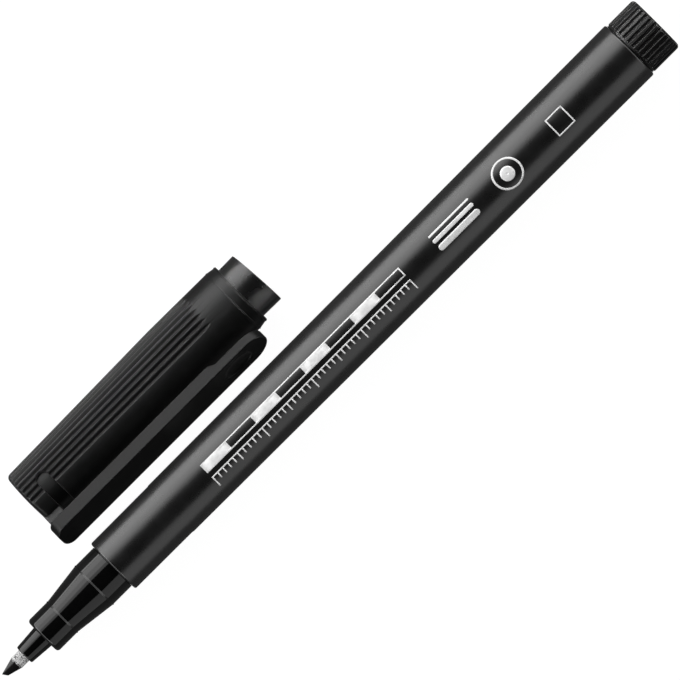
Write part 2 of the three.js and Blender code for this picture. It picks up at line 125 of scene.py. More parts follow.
def grey(name, description, value):
    """Neutral colour, in linear values."""
    return FloatVectorProperty(
        name=name, description=description, subtype="COLOR", size=4, min=0.0, max=1.0,
        default=(value, value, value, 1.0),
    )


class BarrelSizes(PropertyGroup):
    """Tapered barrel."""

    length: length("Length", "From the front rim to the rear rim", 104.2)
    front_diameter: length("Front diameter", "Across the front rim", 9.1)
    seat_length: length("Seat length", "Slimmer stretch behind the front rim", 11.5)
    seat_draft: length("Seat draft", "Growth of the radius over the seat", 0.03)
    step_height: length("Step height", "Step up behind the seat", 0.065)
    step_length: length("Step length", "Length of that step", 0.25)
    rear_diameter: length("Rear diameter", "Across the rear rim", 9.9)
    rim_radius: length("Rim radius", "Rounding of both rims", 0.3)
    rear_reach: length("Rear reach", "Of the rear rim over the plug's seam", 0.2)
    wall: length("Wall", "Thickness of the wall", 0.85)


class SectionSizes(PropertyGroup):
    """Stepped front section and the nib holder in it."""

    front_diameter: length("Front diameter", "Across the front cylinder", 6.15)
    front_length: length("Front length", "Length of the front cylinder", 3.95)
    face_radius: length("Face radius", "Rounding of the front face", 0.5)
    cone_length: length("Cone length", "Length of the cone", 6.45)
    rear_diameter: length("Rear diameter", "Across the rear cylinder", 7.74)
    rear_length: length("Rear length", "Shown length of the rear cylinder", 3.5)
    gap: length("Gap", "Room for a seam in front of the barrel", 0.3)
    seam: length("Seam", "Shown width of that seam", 0.06)
    spigot_length: length("Spigot length", "Part inside the barrel", 9.0)
    spigot_wall: length("Spigot wall", "Wall of that part", 0.9)
    edge_radius: length("Edge radius", "Rounding of its small edges", 0.08)
    bead_height: length("Bead height", "Fine ring at both ends of the cone", 0.08)
    bead_width: length("Bead width", "Width of that ring", 0.22)
    stop_length: length("Stop length", "Web behind the nib holder", 1.7)
    holder_tip: length("Holder tip", "Diameter of the holder at the nib", 3.05)
    holder_base: length("Holder base", "Diameter of the holder at the section", 3.63)
    holder_shown: length("Holder shown", "Length in front of the section", 3.75)
    holder_shank: length("Holder shank", "Length inside the section", 7.5)
    holder_edge: length("Holder edge", "Rounding of the holder's tip", 0.22)
    clearance: length("Clearance", "Round the holder and the spigot", 0.12)


class NibSizes(PropertyGroup):
    """Fibre nib."""

    diameter: length("Diameter", "Across the rod", 2.14)
    shown: length("Shown length", "In front of the holder", 4.2)
    cone_length: length("Cone length", "From the tip to the full rod", 2.8)
    tip_diameter: length("Tip diameter", "Across the blunt tip", 0.62)
    slant: turn("Slant", "Between the worn face and a square cut", 35.0)
    softness: length("Softness", "Rounding of the worn face's edges", 0.04)
    reach: length("Reach", "How far it goes into the wadding", 5.0)
    clearance: length("Clearance", "Between the rod and its bore", 0.12)
    inked: length("Inked length", "Soaked black, from the tip on", 2.6)
    soaked_side: length("Soaked side", "From the axis to the paler side of that part", 0.3)
    ink_stray: length("Ink stray", "How far the soaked part's end strays", 0.9)


class ReservoirSizes(PropertyGroup):
    """Wadding and film inside the barrel."""

    end_gap: length("End gap", "To the spigots at both ends", 0.5)
    film: length("Film", "Thickness of the film tube", 0.25)
    clearance: length("Clearance", "Round the film and the wadding", 0.12)
    edge: length("Edge", "Rounding of the wadding's ends", 0.3)
    seam: length("Seam", "Behind the nib's end", 0.3)


class PlugSizes(PropertyGroup):
    """Ribbed end plug."""

    inset: length("Inset", "Depth of its surface below the barrel's", 0.25)
    head_length: length("Head length", "Part behind the barrel", 5.3)
    seam: length("Seam", "Shown seam behind the barrel", 0.06)
    collar_length: length("Collar length", "Sharp groove against the barrel", 0.36)
    collar_depth: length("Collar depth", "Depth of that groove", 0.19)
    edge_radius: length("Edge radius", "Rounding of the rear edge", 0.55)
    rib_depth: length("Rib depth", "Depth of the grooves between the ribs", 0.32)
    ribs: IntProperty(name="Ribs", description="Ribs round the head", default=31, min=3)
    end_wall: length("End wall", "Thickness of the rear wall", 1.3)
    spigot_length: length("Spigot length", "Part inside the barrel", 8.0)
    spigot_wall: length("Spigot wall", "Wall of that part", 1.0)
    clearance: length("Clearance", "Round the spigot", 0.12)


class CapSizes(PropertyGroup):
    """Cap shell with its grooves and vent slot."""

    length: length("Length", "From the closed end to the mouth", 42.6)
    end_diameter: length("End diameter", "Across the crests behind the chamfer", 10.2)
    body_diameter: length("Body diameter", "Across the parallel stretch", 11.1)
    straight_length: length("Straight length", "Parallel stretch up to the mouth", 13.3)
    end_dome: length("End dome", "Bulge of the closed end", 0.3)
    end_edge: length("End edge", "Rounding of the closed end", 0.75)
    lip_length: length("Lip length", "Chamfer of the mouth", 1.6)
    lip_depth: length("Lip depth", "Depth of that chamfer", 0.265)
    lip_edge: length("Lip edge", "Rounding of its edges", 0.1)
    end_wall: length("End wall", "Thickness of the closed end", 1.2)
    space_diameter: length("Space diameter", "Across the space behind the inner cap", 7.07)
    groove_start: length("Groove start", "From the closed end", 0.35)
    collar_length: length("Collar length", "Smooth stretch before the mouth", 6.0)
    bead_height: length("Bead height", "Fine rings at both ends of the lip", 0.08)
    bead_width: length("Bead width", "Width of those rings", 0.24)
    point_length: length("Point length", "Over which the grooves come to a point", 2.4)
    groove_depth: length("Groove depth", "Depth of the grooves", 0.3)
    grooves: IntProperty(name="Grooves", description="Grooves round the cap", default=25, min=3)
    pitch: turn("Pitch", "From groove to groove", 10.35)
    vent_from_wall: length("Vent place", "From the end wall to the vent slot", 1.75)
    vent_width: length("Vent width", "Width of the vent slot", 2.1)
    vent_reach: turn("Vent reach", "To each side of the clip", 83.0)
    vent_edge: length("Vent edge", "Rounding of the slot's edge", 0.12)
    vent_depth: length("Vent depth", "From the crests down to the slot's floor", 0.75)
    floor_sunk: length("Floor sunk", "How far the slot's floor goes into the shell", 0.3)
    floor_edge: length("Floor edge", "Bevel of that floor", 0.03)


class SleeveSizes(PropertyGroup):
    """Inner cap, a sleeve that stands out of the cap's mouth."""

    projection: length("Projection", "How far it stands out of the mouth", 3.2)
    diameter: length("Diameter", "Across its mouth", 9.27)
    wall: length("Wall", "Thickness of the wall", 0.7)
    draft: length("Draft", "Fall of its radius to the closed end", 0.4)
    depth: length("Depth", "Depth of its bore", 23.65)
    end_wall: length("End wall", "Thickness of its closed end", 1.0)
    seal_length: length("Seal length", "Straight bore that grips the section", 4.0)
    seat_gap: length("Seat gap", "Between its closed end and its seat", 0.3)
    clearance: length("Clearance", "Round the sleeve", 0.12)
    rim_radius: length("Rim radius", "Rounding of its rim", 0.12)
    end_edge: length("End edge", "Rounding of its closed end", 0.3)
    bore_edge: length("Bore edge", "Rounding at the bottom of its bore", 0.4)
    slant: turn("Slant", "Of its mouth, which stands out further below the clip", 4.6)


class ClipSizes(PropertyGroup):
    """Pocket clip and the bridge that carries it."""

    width: length("Width", "Across the clip", 4.4)
    thickness: length("Thickness", "Thickness of the arm", 2.3)
    gap: length("Gap", "Between the arm and the shell's parallel stretch", 0.75)
    overhang: length("Overhang", "Past the closed end", 0.4)
    short_of_mouth: length("Short of mouth", "From the tip to the mouth", 1.85)
    tip_round: length("Tip round", "Length over which the tip narrows", 3.1)
    tip_thickness: length("Tip thickness", "Thickness of the tip", 1.6)
    tip_length: length("Tip length", "Length of the thinner tip", 7.7)
    step_length: length("Step length", "From arm to tip", 1.5)
    corner_radius: length("Corner radius", "Corners of the root", 1.6)
    edge_radius: length("Edge radius", "Rounding of the long edges", 0.16)
    dimple_length: length("Dimple length", "Along the clip", 5.0)
    dimple_width: length("Dimple width", "Across the clip", 2.7)
    dimple_depth: length("Dimple depth", "In the middle of the dimple", 0.4)
    dimple_place: length("Dimple place", "From the tip to its middle", 5.5)
    bridge_gap: length("Bridge gap", "Hairline under the clip's root", 0.03)
    bridge_corner: length("Bridge corner", "Rounding of the bridge's corners", 0.25)
    bridge_width: length("Bridge width", "Across the bridge", 3.2)
    bridge_slope: turn("Bridge slope", "Fall of its top behind the line the clip turns about", 4.5)


class MarkSizes(PropertyGroup):
    """Plain silver marks printed on the barrel: a scale, line samples and small figures."""

    relief: length("Relief", "Height of the print over the barrel", 0.01)
    sunk: length("Sunk", "Depth of the print in the barrel", 0.03)
    turn: turn("Turn", "From the top of the barrel away from the cap", 2.0)
    scale_start: length("Scale start", "From the front rim", 19.0)
    division: length("Division", "Length of one block of the scale", 5.0)
    divisions: IntProperty(name="Divisions", description="Blocks in the scale", default=8, min=1)
    block_height: length("Block height", "Height of the scale's blocks", 1.6)
    line_width: length("Line width", "Width of the fine lines", 0.2)
    tick_gap: length("Tick gap", "Between the blocks and the ticks' line", 0.8)
    tick_height: length("Tick height", "Height of the short ticks", 0.9)
    sample_gap: length("Sample gap", "From the scale to the line samples", 6.0)
    sample_length: length("Sample length", "Length of the line samples", 8.0)
    target_gap: length("Target gap", "From the samples to the target's middle", 6.5)
    target_radius: length("Target radius", "Radius of the target", 2.4)
    ring_width: length("Ring width", "Width of its ring", 0.3)
    dot_radius: length("Dot radius", "Radius of its dot", 1.1)
    square_gap: length("Square gap", "From the target's middle to the square", 9.0)
    square_side: length("Square side", "Side of the square", 3.2)


class Finishes(PropertyGroup):
    """Colours of the plastics, fibre and print."""

    barrel: grey("Barrel", "Satin black of the barrel and inner cap", 0.004)
    section: grey("Section", "Glossy black of the front section", 0.002)
    cap: grey("Cap", "Matt black of the cap and end plug", 0.002)
    fibre: grey("Fibre", "Clean fibre of the nib", 0.62)
    ink: grey("Ink", "Black ink", 0.004)
    # Paler colour that the inked stretch of the nib takes on its +Y side
    inked_pale_side: grey("Inked pale side", "Fibre that is only stained with ink", 0.08)
    silver: grey("Silver", "Silver print", 0.75)
    wadding: grey("Wadding", "Ink-soaked wadding", 0.03)
    film: grey("Film", "Pale plastic film", 0.7)


class StageSizes(PropertyGroup):
    """Camera, lamps and floor."""

    camera_along: length("Camera along", "From the middle of the object, to the rear", 1.965)
    camera_across: length("Camera across", "From the middle, to the pen's side", 7.7)
    camera_height: length("Camera height", "Above the floor", 3000.0)
    axis_height: length("Axis height", "Pen's axis above the floor", 5.0)
    view_width: length("View width", "Seen across the picture at the pen's axis", 97.14)
    camera_turn: turn("Camera turn", "So that the pen lies aslant in the picture", -45.0)
    floor_size: length("Floor size", "Side of the floor", 6000.0)
    floor: grey("Floor", "Floor under the lamps alone", 0.06)
    lift: level("Lift", "Brightness added to the floor in the picture", 0.97)
    mirrored: level("Mirrored", "Brightness added to the floor where it is mirrored", 0.05)
    lamp_distance: length("Lamp distance", "From the marker to the lamps", 3000.0)
    lamp_length: length("Lamp length", "Along the marker", 9000.0)
    crown_start: turn("Crown start", "Start of the dim lamp above the matt pieces", -12.0)
    crown_end: turn("Crown end", "Its end, next to the highest lamp", 23.0)
    crown_glow: level("Crown glow", "Its brightness", 0.5, 20.0)
    high_start: turn("High start", "Upper edge of the highest lamp, from straight up", 23.0)
    high_end: turn("High end", "Its lower edge", 35.0)
    high_glow: level("High glow", "Its brightness", 1.1, 20.0)
    key_start: turn("Key start", "Upper edge of the large lamp under it", 35.0)
    key_end: turn("Key end", "Its lower edge", 56.0)
    key_glow: level("Key glow", "Its brightness", 2.2, 20.0)
    core_start: turn("Core start", "Upper edge of the brighter lamp under that", 56.0)
    core_end: turn("Core end", "Its lower edge", 80.0)
    core_glow: level("Core glow", "Its brightness", 2.75, 20.0)
    rim_start: turn("Rim start", "Upper edge of the lowest lamp", 81.0)
    rim_end: turn("Rim end", "Its lower edge", 90.0)
    rim_glow: level("Rim glow", "Its brightness", 3.2, 20.0)
    fill_start: turn("Fill start", "Upper edge of the dim lamp across from them", 42.0)
    fill_end: turn("Fill end", "Its lower edge", 89.0)
    fill_glow: level("Fill glow", "Its brightness", 0.68, 20.0)
    ends_start: turn("Ends start", "Upper edge of the lamps beyond the marker's ends", 48.0)
    ends_end: turn("Ends end", "Their lower edge", 74.0)
    ends_glow: level("Ends glow", "Their brightness", 2.0, 20.0)
    glow: level("Glow", "Brightness of the dark walls", 0.01)


class MarkerSettings(PropertyGroup):
    """All sizes and colours of the marker."""

    barrel: PointerProperty(type=BarrelSizes)
    section: PointerProperty(type=SectionSizes)
    nib: PointerProperty(type=NibSizes)
    reservoir: PointerProperty(type=ReservoirSizes)
    plug: PointerProperty(type=PlugSizes)
    cap: PointerProperty(type=CapSizes)
    sleeve: PointerProperty(type=SleeveSizes)
    clip: PointerProperty(type=ClipSizes)
    marks: PointerProperty(type=MarkSizes)
    finishes: PointerProperty(type=Finishes)
    stage: PointerProperty(type=StageSizes)


def sizes():
    """Settings of the open scene."""
    return bpy.context.scene.marker


# Places in the frame

def mount(name):
    """Point and outward direction of one of the record's mounts."""
    found = next(m for m in frame["record"]["mounts"] if m["name"] == name)
    return Vector(found["pos_m"]), Vector(found["axis"]).normalized()


def place(origin, along, across):
    """Matrix of a piece's own axes: X along it, Y across, Z square to both."""
    across = (across - along * across.dot(along)).normalized()
    axes = Matrix((along, across, along.cross(across))).transposed()
    return Matrix.Translation(origin) @ axes.to_4x4()


def pen_place():
    """Pen's axes: origin in the barrel's front rim, X towards the end plug."""
    face, along = mount("plug_face")
    reach = sizes().barrel.length + sizes().section.gap + sizes().plug.head_length
    return place(face - along * reach, along, Vector((0, 1, 0)))


def cap_place():
    """Cap's axes: origin in its closed end, X towards its mouth, Z towards the clip."""
    face, outward = mount("cap_end_face")
    hinge = next(joint for joint in frame["joints"] if joint["name"] == "clip_flex")
    return place(face, -outward, -Vector(hinge["axis"]))


# Outlines and meshes

def rounded(corners, steps=ARC_STEPS):
    """Closed outline through (along, radius, rounding) corners, with arcs at rounded ones."""
    outline = []
    for i, (along, radius, size) in enumerate(corners):
        here = Vector((along, radius))
        if size == 0:
            outline.append(here)
            continue
        before = (Vector(corners[i - 1][:2]) - here).normalized()
        after = (Vector(corners[(i + 1) % len(corners)][:2]) - here).normalized()
        half = before.angle(after) / 2
        middle = here + (before + after).normalized() * (size / math.sin(half))
        start = here + before * (size / math.tan(half)) - middle
        end = here + after * (size / math.tan(half)) - middle
        sweep = start.angle(end)
        for step in range(steps + 1):
            part = step / steps
            arm = start * math.sin((1 - part) * sweep) + end * math.sin(part * sweep)
            outline.append(middle + arm / math.sin(sweep))
    return [(point.x, point.y) for point in outline]


def with_stations(outline, places):
    """The outline with extra points at places along it, where it runs towards +X."""
    made = [outline[0]]
    for (start, low), (end, high) in zip(outline, outline[1:]):
        for station in sorted(places):
            if start + WELD_DISTANCE < station < end - WELD_DISTANCE:
                part = (station - start) / (end - start)
                made.append((station, low + (high - low) * part))
        made.append((end, high))
    return made


def radius_at(outline, along):
    """Radius of the part of an outline that runs towards +X."""
    for (start, low), (end, high) in zip(outline, outline[1:]):
        if start < end and start <= along <= end:
            return low + (high - low) * (along - start) / (end - start)
    raise ValueError(f"the outline has no place {along}")


def narrowed(outline):
    """The same outline with its radii taken in to the flats of the frame's facets."""
    return [(along, radius * FLAT_SHARE) for along, radius in outline]


def spaced(low, high, count):
    """Count + 1 evenly spaced numbers."""
    return [low + (high - low) * i / count for i in range(count + 1)]


def way(low, high, value):
    """Share of the way from low to high, held between 0 and 1."""
    return min(max((value - low) / (high - low), 0.0), 1.0)


def smooth(low, high, value):
    """Soft step from 0 at low to 1 at high."""
    part = way(low, high, value)
    return part * part * (3 - 2 * part)


def v_groove(offset, edge):
    """Depth of a V groove from 0 to 1 at a share of its pitch from its middle."""
    part = way(edge, GROOVE_BOTTOM, abs(offset))
    return GROOVE_CRISPNESS * part + (1 - GROOVE_CRISPNESS) * smooth(0, 1, part)


def around(along, radius, angle):
    """Point at an angle round the X axis, from +Z towards +Y."""
    return (along, radius * math.sin(angle), radius * math.cos(angle))


def grid_faces(rows, columns, closed_rows=False, keep=None):
    """Quads of a grid of points, row by row, closed round each row."""
    faces = []
    for row in range(rows if closed_rows else rows - 1):
        above = (row + 1) % rows
        for column in range(columns):
            if keep is None or keep(row, column):
                beside = (column + 1) % columns
                corners = ((row, column), (row, beside), (above, beside), (above, column))
                faces.append([r * columns + c for r, c in corners])
    return faces


def welded_mesh(name, points, faces, skin=False):
    """Smooth mesh with coinciding points joined and all faces turned outwards.

    A skin has no inside, so its faces are turned away from the X axis.
    """
    mesh = bpy.data.meshes.new(name)
    mesh.from_pydata(points, [], faces)
    work = bmesh.new()
    work.from_mesh(mesh)
    bmesh.ops.remove_doubles(work, verts=work.verts, dist=WELD_DISTANCE)
    bmesh.ops.recalc_face_normals(work, faces=work.faces)
    for face in work.faces:
        face.smooth = True
        if skin and face.normal.yz.dot(face.calc_center_median().yz) < 0:
            face.normal_flip()
    work.to_mesh(mesh)
    work.free()
    return mesh


def turned_mesh(name, outline, steps=TURN_COLUMNS):
    """Body turned about X. Its outline closes on itself or starts and ends on the axis."""
    angles = spaced(0, 2 * math.pi, steps)[:-1]
    points = [around(along, radius, angle) for along, radius in outline for angle in angles]
    closed = outline[0][1] > 0
    return welded_mesh(name, points, grid_faces(len(outline), steps, closed_rows=closed))


def turned_piece(name, corners):
    """Turned body through (along, radius, rounding) corners, taken in to the frame's flats."""
    return turned_mesh(name, narrowed(rounded(corners)))


def arc_points(along, side, radius, start, end, steps):
    """Points of an arc between two angles, from +X towards +Y."""
    angles = spaced(start, end, steps)
    return [(along + radius * math.cos(a), side + radius * math.sin(a)) for a in angles]


def light_set(name):
    """Set of objects that a lamp lights or that shade it."""
    return bpy.data.collections.get(name) or bpy.data.collections.new(name)


def add_piece(mesh, body, slot, finish, *nodes):
    """Object for a mesh that is moved to its place, riding on its body, for its CAD nodes."""
    mesh.transform(pen_place() if body == "pen" else cap_place())
    piece = bpy.data.objects.new(mesh.name, mesh)
    bpy.context.scene.collection.objects.link(piece)
    mesh.materials.append(finish)
    piece.modifiers.new("Even shading", "WEIGHTED_NORMAL")
    lit = MATT_SET if slot == "cap_plastic" else PEN_SET if body == "pen" else SLEEVE_SET
    light_set(lit).objects.link(piece)
    piece.visible_glossy = body == "pen"
    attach(piece, body)
    if nodes:
        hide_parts(*nodes)
    return piece


# Node trees

def add_node(tree, kind, values=None, **attributes):
    """Node with its settings made and its inputs set or linked."""
    node = tree.nodes.new(kind)
    for key, value in attributes.items():
        setattr(node, key, value)
    for socket, value in (values or {}).items():
        if isinstance(value, bpy.types.NodeSocket):
            tree.links.new(value, node.inputs[socket])
        else:
            node.inputs[socket].default_value = value
    return node


def math_node(tree, operation, first, second):
    """Output of a sum, product or the like of two values."""
    return add_node(tree, "ShaderNodeMath", {0: first, 1: second}, operation=operation).outputs[0]


def mapped(tree, value, low, high, to_low=0.0, to_high=1.0):
    """Output of a value taken from one range to another, and held within it."""
    ranges = {"From Min": low, "From Max": high, "To Min": to_low, "To Max": to_high}
    return add_node(tree, "ShaderNodeMapRange", {"Value": value, **ranges}).outputs[0]


def colour_mix(tree, factor, first, second):
    """Output of a mix of two colours."""
    factor_in, first_in, second_in, colour_out = 0, 6, 7, 2
    values = {factor_in: factor, first_in: first, second_in: second}
    return add_node(tree, "ShaderNodeMix", values, data_type="RGBA").outputs[colour_out]


def noise(tree, vector, scale, detail):
    """Output of a noise from 0 to 1."""
    values = {"Vector": vector, "Scale": scale, "Detail": detail}
    return add_node(tree, "ShaderNodeTexNoise", values).outputs["Fac"]


def add_group(tree, group, values):
    """Outputs of a shader group placed in a material, with its inputs set or linked."""
    return add_node(tree, "ShaderNodeGroup", values, node_tree=group).outputs


def shader_group(name, inputs, outputs):
    """Empty shader group with (name, type, default) inputs and (name, type) outputs."""
    tree = bpy.data.node_groups.new(name, "ShaderNodeTree")
    for label, kind, default in inputs:
        socket = tree.interface.new_socket(label, in_out="INPUT", socket_type=kind)
        if default is not None:
            socket.default_value = default
    for label, kind in outputs:
        tree.interface.new_socket(label, in_out="OUTPUT", socket_type=kind)
    given = tree.nodes.new("NodeGroupInput").outputs
    made = tree.nodes.new("NodeGroupOutput").inputs
    return tree, given, made


def moulded_grain():
    """Fine grain of moulded plastic: mottled colour, uneven gloss and a low relief."""
    name = "Moulded grain"
    if name in bpy.data.node_groups:
        return bpy.data.node_groups[name]
    black, dark = (0.01, 0.01, 0.01, 1.0), (0.02, 0.02, 0.02, 1.0)
    tree, given, made = shader_group(
        name,
        [
            ("Vector", "NodeSocketVector", None),
            ("Dark", "NodeSocketColor", black),
            ("Light", "NodeSocketColor", dark),
            ("Grain", "NodeSocketFloat", 9000.0),
            ("Smooth", "NodeSocketFloat", 0.3),
            ("Rough", "NodeSocketFloat", 0.4),
        ],
        [
            ("Color", "NodeSocketColor"),
            ("Roughness", "NodeSocketFloat"),
            ("Height", "NodeSocketFloat"),
        ],
    )
    coarse = math_node(tree, "MULTIPLY", given["Grain"], 0.06)
    fine = noise(tree, given["Vector"], scale=given["Grain"], detail=3.0)
    broad = noise(tree, given["Vector"], scale=coarse, detail=4.0)
    spread = mapped(tree, fine, low=0.3, high=0.7)
    mottle = colour_mix(tree, spread, given["Dark"], given["Light"])
    gloss = mapped(tree, broad, low=0.3, high=0.7, to_low=given["Smooth"], to_high=given["Rough"])
    tree.links.new(mottle, made["Color"])
    tree.links.new(gloss, made["Roughness"])
    tree.links.new(fine, made["Height"])
    return tree


def fibre_streaks():
    """Strands along X: a mask from 0 in the gaps to 1 on the strands, and their relief."""
    name = "Fibre streaks"
    if name in bpy.data.node_groups:
        return bpy.data.node_groups[name]
    tree, given, made = shader_group(
        name,
        [
            ("Vector", "NodeSocketVector", None),
            ("Strands", "NodeSocketFloat", 9000.0),
            ("Stretch", "NodeSocketFloat", 0.1),
        ],
        [("Mask", "NodeSocketFloat"), ("Height", "NodeSocketFloat")],
    )
    stretch = add_node(tree, "ShaderNodeCombineXYZ", {0: given["Stretch"], 1: 1.0, 2: 1.0})
    drawn = add_node(
        tree, "ShaderNodeVectorMath", {0: given["Vector"], 1: stretch.outputs[0]},
        operation="MULTIPLY",
    ).outputs[0]
    strands = noise(tree, drawn, scale=given["Strands"], detail=2.0)
    tree.links.new(mapped(tree, strands, low=0.4, high=0.6), made["Mask"])
    tree.links.new(strands, made["Height"])
    return tree


def blank_material(name):
    """Material with only a Principled shader, and its object coordinates."""
    material = bpy.data.materials.new(name)
    material.use_nodes = True
    tree = material.node_tree
    tree.nodes.clear()
    shader = tree.nodes.new("ShaderNodeBsdfPrincipled")
    output = tree.nodes.new("ShaderNodeOutputMaterial")
    tree.links.new(shader.outputs[0], output.inputs["Surface"])
    coordinates = tree.nodes.new("ShaderNodeTexCoord").outputs["Object"]
    return material, tree, shader.inputs, coordinates


def relief(tree, height, depth):
    """Output of a bump of a real depth."""
    values = {"Height": height, "Distance": depth, "Strength": 1.0}
    return add_node(tree, "ShaderNodeBump", values).outputs[0]


def scaled(colour, factor):
    """Colour made darker or lighter."""
    return (colour[0] * factor, colour[1] * factor, colour[2] * factor, 1.0)


def plastic(name, colour, grain, glosses, depth, specular, mottling=0.2):
    """Moulded plastic: grain per metre, least and most roughness, and depth of the grain."""
    if name in bpy.data.materials:
        return bpy.data.materials[name]
    material, tree, shader, coordinates = blank_material(name)
    smoothest, roughest = glosses
    grained = add_group(tree, moulded_grain(), {
        "Vector": coordinates,
        "Dark": scaled(colour, 1 - mottling),
        "Light": scaled(colour, 1 + mottling),
        "Grain": grain,
        "Smooth": smoothest,
        "Rough": roughest,
    })
    tree.links.new(grained["Color"], shader["Base Color"])
    tree.links.new(grained["Roughness"], shader["Roughness"])
    tree.links.new(relief(tree, grained["Height"], depth), shader["Normal"])
    shader["Specular IOR Level"].default_value = specular
    return material


def barrel_finish():
    """Satin black of the barrel and the inner cap."""
    return plastic(
        "Satin plastic", sizes().finishes.barrel, grain=7000.0, glosses=(0.26, 0.31),
        depth=0.2 * MICRON, specular=0.95,
    )


def section_finish():
    """Glossy black of the front section and the nib holder."""
    return plastic(
        "Glossy plastic", sizes().finishes.section, grain=2500.0, glosses=(0.06, 0.1),
        depth=0.2 * MICRON, specular=0.55,
    )


def film_finish():
    """Thin pale film round the wadding."""
    return plastic(
        "Pale film", sizes().finishes.film, grain=1500.0, glosses=(0.2, 0.3),
        depth=2.0 * MICRON, specular=0.5, mottling=0.05,
    )


def matt_plastic(name, glosses, specular):
    """Black plastic with a fine grain."""
    return plastic(
        name, sizes().finishes.cap, grain=9000.0, glosses=glosses,
        depth=2.0 * MICRON, specular=specular, mottling=0.3,
    )


def cap_finish():
    """Matt black of the cap shell."""
    return matt_plastic("Matt plastic", glosses=(0.34, 0.4), specular=0.46)


def plug_finish():
    """The same plastic on the end plug, a little smoother."""
    return matt_plastic("Smoother plastic", glosses=(0.29, 0.35), specular=0.62)


def clip_finish():
    """The same plastic on the clip, a little duller."""
    return matt_plastic("Dull plastic", glosses=(0.34, 0.4), specular=0.24)


def fibre_strands(tree, coordinates, shader, grain, dark, light, depth):
    """Colour of strands, grain per metre, whose relief of a real depth goes into the shader."""
    streaks = add_group(tree, fibre_streaks(), {"Vector": coordinates, "Strands": grain})
    tree.links.new(relief(tree, streaks["Height"], depth), shader["Normal"])
    return colour_mix(tree, streaks["Mask"], dark, light)


def nib_finish():
    """Bonded fibre, soaked black towards the tip and paler there on its +Y side, with ink specks
    on the clean stretch.
    """
    nib, finishes = sizes().nib, sizes().finishes
    origin = pen_place().translation
    material, tree, shader, coordinates = blank_material("Nib fibre")
    along, across = add_node(tree, "ShaderNodeSeparateXYZ", {0: coordinates}).outputs[:2]

    ink_end = origin.x + holder_tip(sizes().section) - nib.shown + nib.inked
    ragged = noise(tree, coordinates, scale=2600.0, detail=3.0)
    drift = math_node(tree, "MULTIPLY", ragged, nib.ink_stray)
    shifted = math_node(tree, "ADD", along, drift)
    clean = mapped(tree, shifted, low=ink_end + 0.35 * MM, high=ink_end + 0.65 * MM)
    dots = noise(tree, coordinates, scale=5200.0, detail=2.0)
    specks = mapped(tree, dots, low=0.36, high=0.46)
    bare = math_node(tree, "MULTIPLY", clean, specks)

    # the inked stretch turns paler on its +Y side, beyond soaked_to
    soaked_to = origin.y + nib.soaked_side
    paler = mapped(tree, across, low=soaked_to - 0.08 * MM, high=soaked_to + 0.12 * MM)
    ink = colour_mix(tree, paler, tuple(finishes.ink), tuple(finishes.inked_pale_side))
    dark, light = scaled(finishes.fibre, 0.55), scaled(finishes.fibre, 1.1)
    strands = fibre_strands(
        tree, coordinates, shader, grain=9000.0, dark=dark, light=light, depth=12 * MICRON
    )
    gloss = mapped(tree, bare, low=0.0, high=1.0, to_low=0.6, to_high=0.9)
    tree.links.new(colour_mix(tree, bare, ink, strands), shader["Base Color"])
    tree.links.new(gloss, shader["Roughness"])
    shader["Specular IOR Level"].default_value = 0.04
    return material


def wadding_finish():
    """Strands of soaked wadding."""
    material, tree, shader, coordinates = blank_material("Wadding")
    wadding = sizes().finishes.wadding
    dark, light = scaled(wadding, 0.6), scaled(wadding, 1.4)
    strands = fibre_strands(
        tree, coordinates, shader, grain=3500.0, dark=dark, light=light, depth=60 * MICRON
    )
    tree.links.new(strands, shader["Base Color"])
    shader["Roughness"].default_value = 0.95
    return material


def print_finish():
    """Silver ink, a little uneven."""
    material, tree, shader, coordinates = blank_material("Silver print")
    silver = sizes().finishes.silver
    cloud = noise(tree, coordinates, scale=1500.0, detail=4.0)
    spread = mapped(tree, cloud, low=0.3, high=0.7)
    uneven = colour_mix(tree, spread, scaled(silver, 0.9), scaled(silver, 1.1))
    gloss = mapped(tree, spread, low=0.0, high=1.0, to_low=0.32, to_high=0.42)
    tree.links.new(uneven, shader["Base Color"])
    tree.links.new(gloss, shader["Roughness"])
    shader["Metallic"].default_value = 0.2
    return material


# Pieces of the pen

def holder_tip(section):
    """Place of the nib holder's tip along the pen."""
    shown = section.front_length + section.cone_length + section.rear_length
    return -section.gap - shown - section.holder_shown


def barrel_bore(barrel, along):
    """Radius of the barrel's bore."""
    front = barrel.front_diameter / 2 - barrel.wall
    rear = barrel.rear_diameter / 2 - barrel.wall
    return front + (rear - front) * along / barrel.length


def barrel_outline(barrel):
    """Outside of the barrel from the front rim to the rear rim."""
    seat = barrel.front_diameter / 2 + barrel.seat_draft
    step = barrel.seat_length + barrel.step_length
    return [
        (0, barrel.front_diameter / 2, barrel.rim_radius),
        (barrel.seat_length, seat, 0),
        (step, seat + barrel.step_height, 0),
        (barrel.length + barrel.rear_reach, barrel.rear_diameter / 2, barrel.rim_radius),
    ]


def bead(along, radius, height, width):
    """Corners of a fine raised ring, with a strip on each side that keeps it crisp."""
    strip, edge, shoulder = (0.6, 0), (0.5, 0), (0.25, 0.8)  # shares of its width and height
    before = [(-place, share) for place, share in (strip, edge, shoulder)]
    section = [*before, (0, 1), shoulder, edge, strip]
    return [(along + width * place, radius + height * share, 0) for place, share in section]


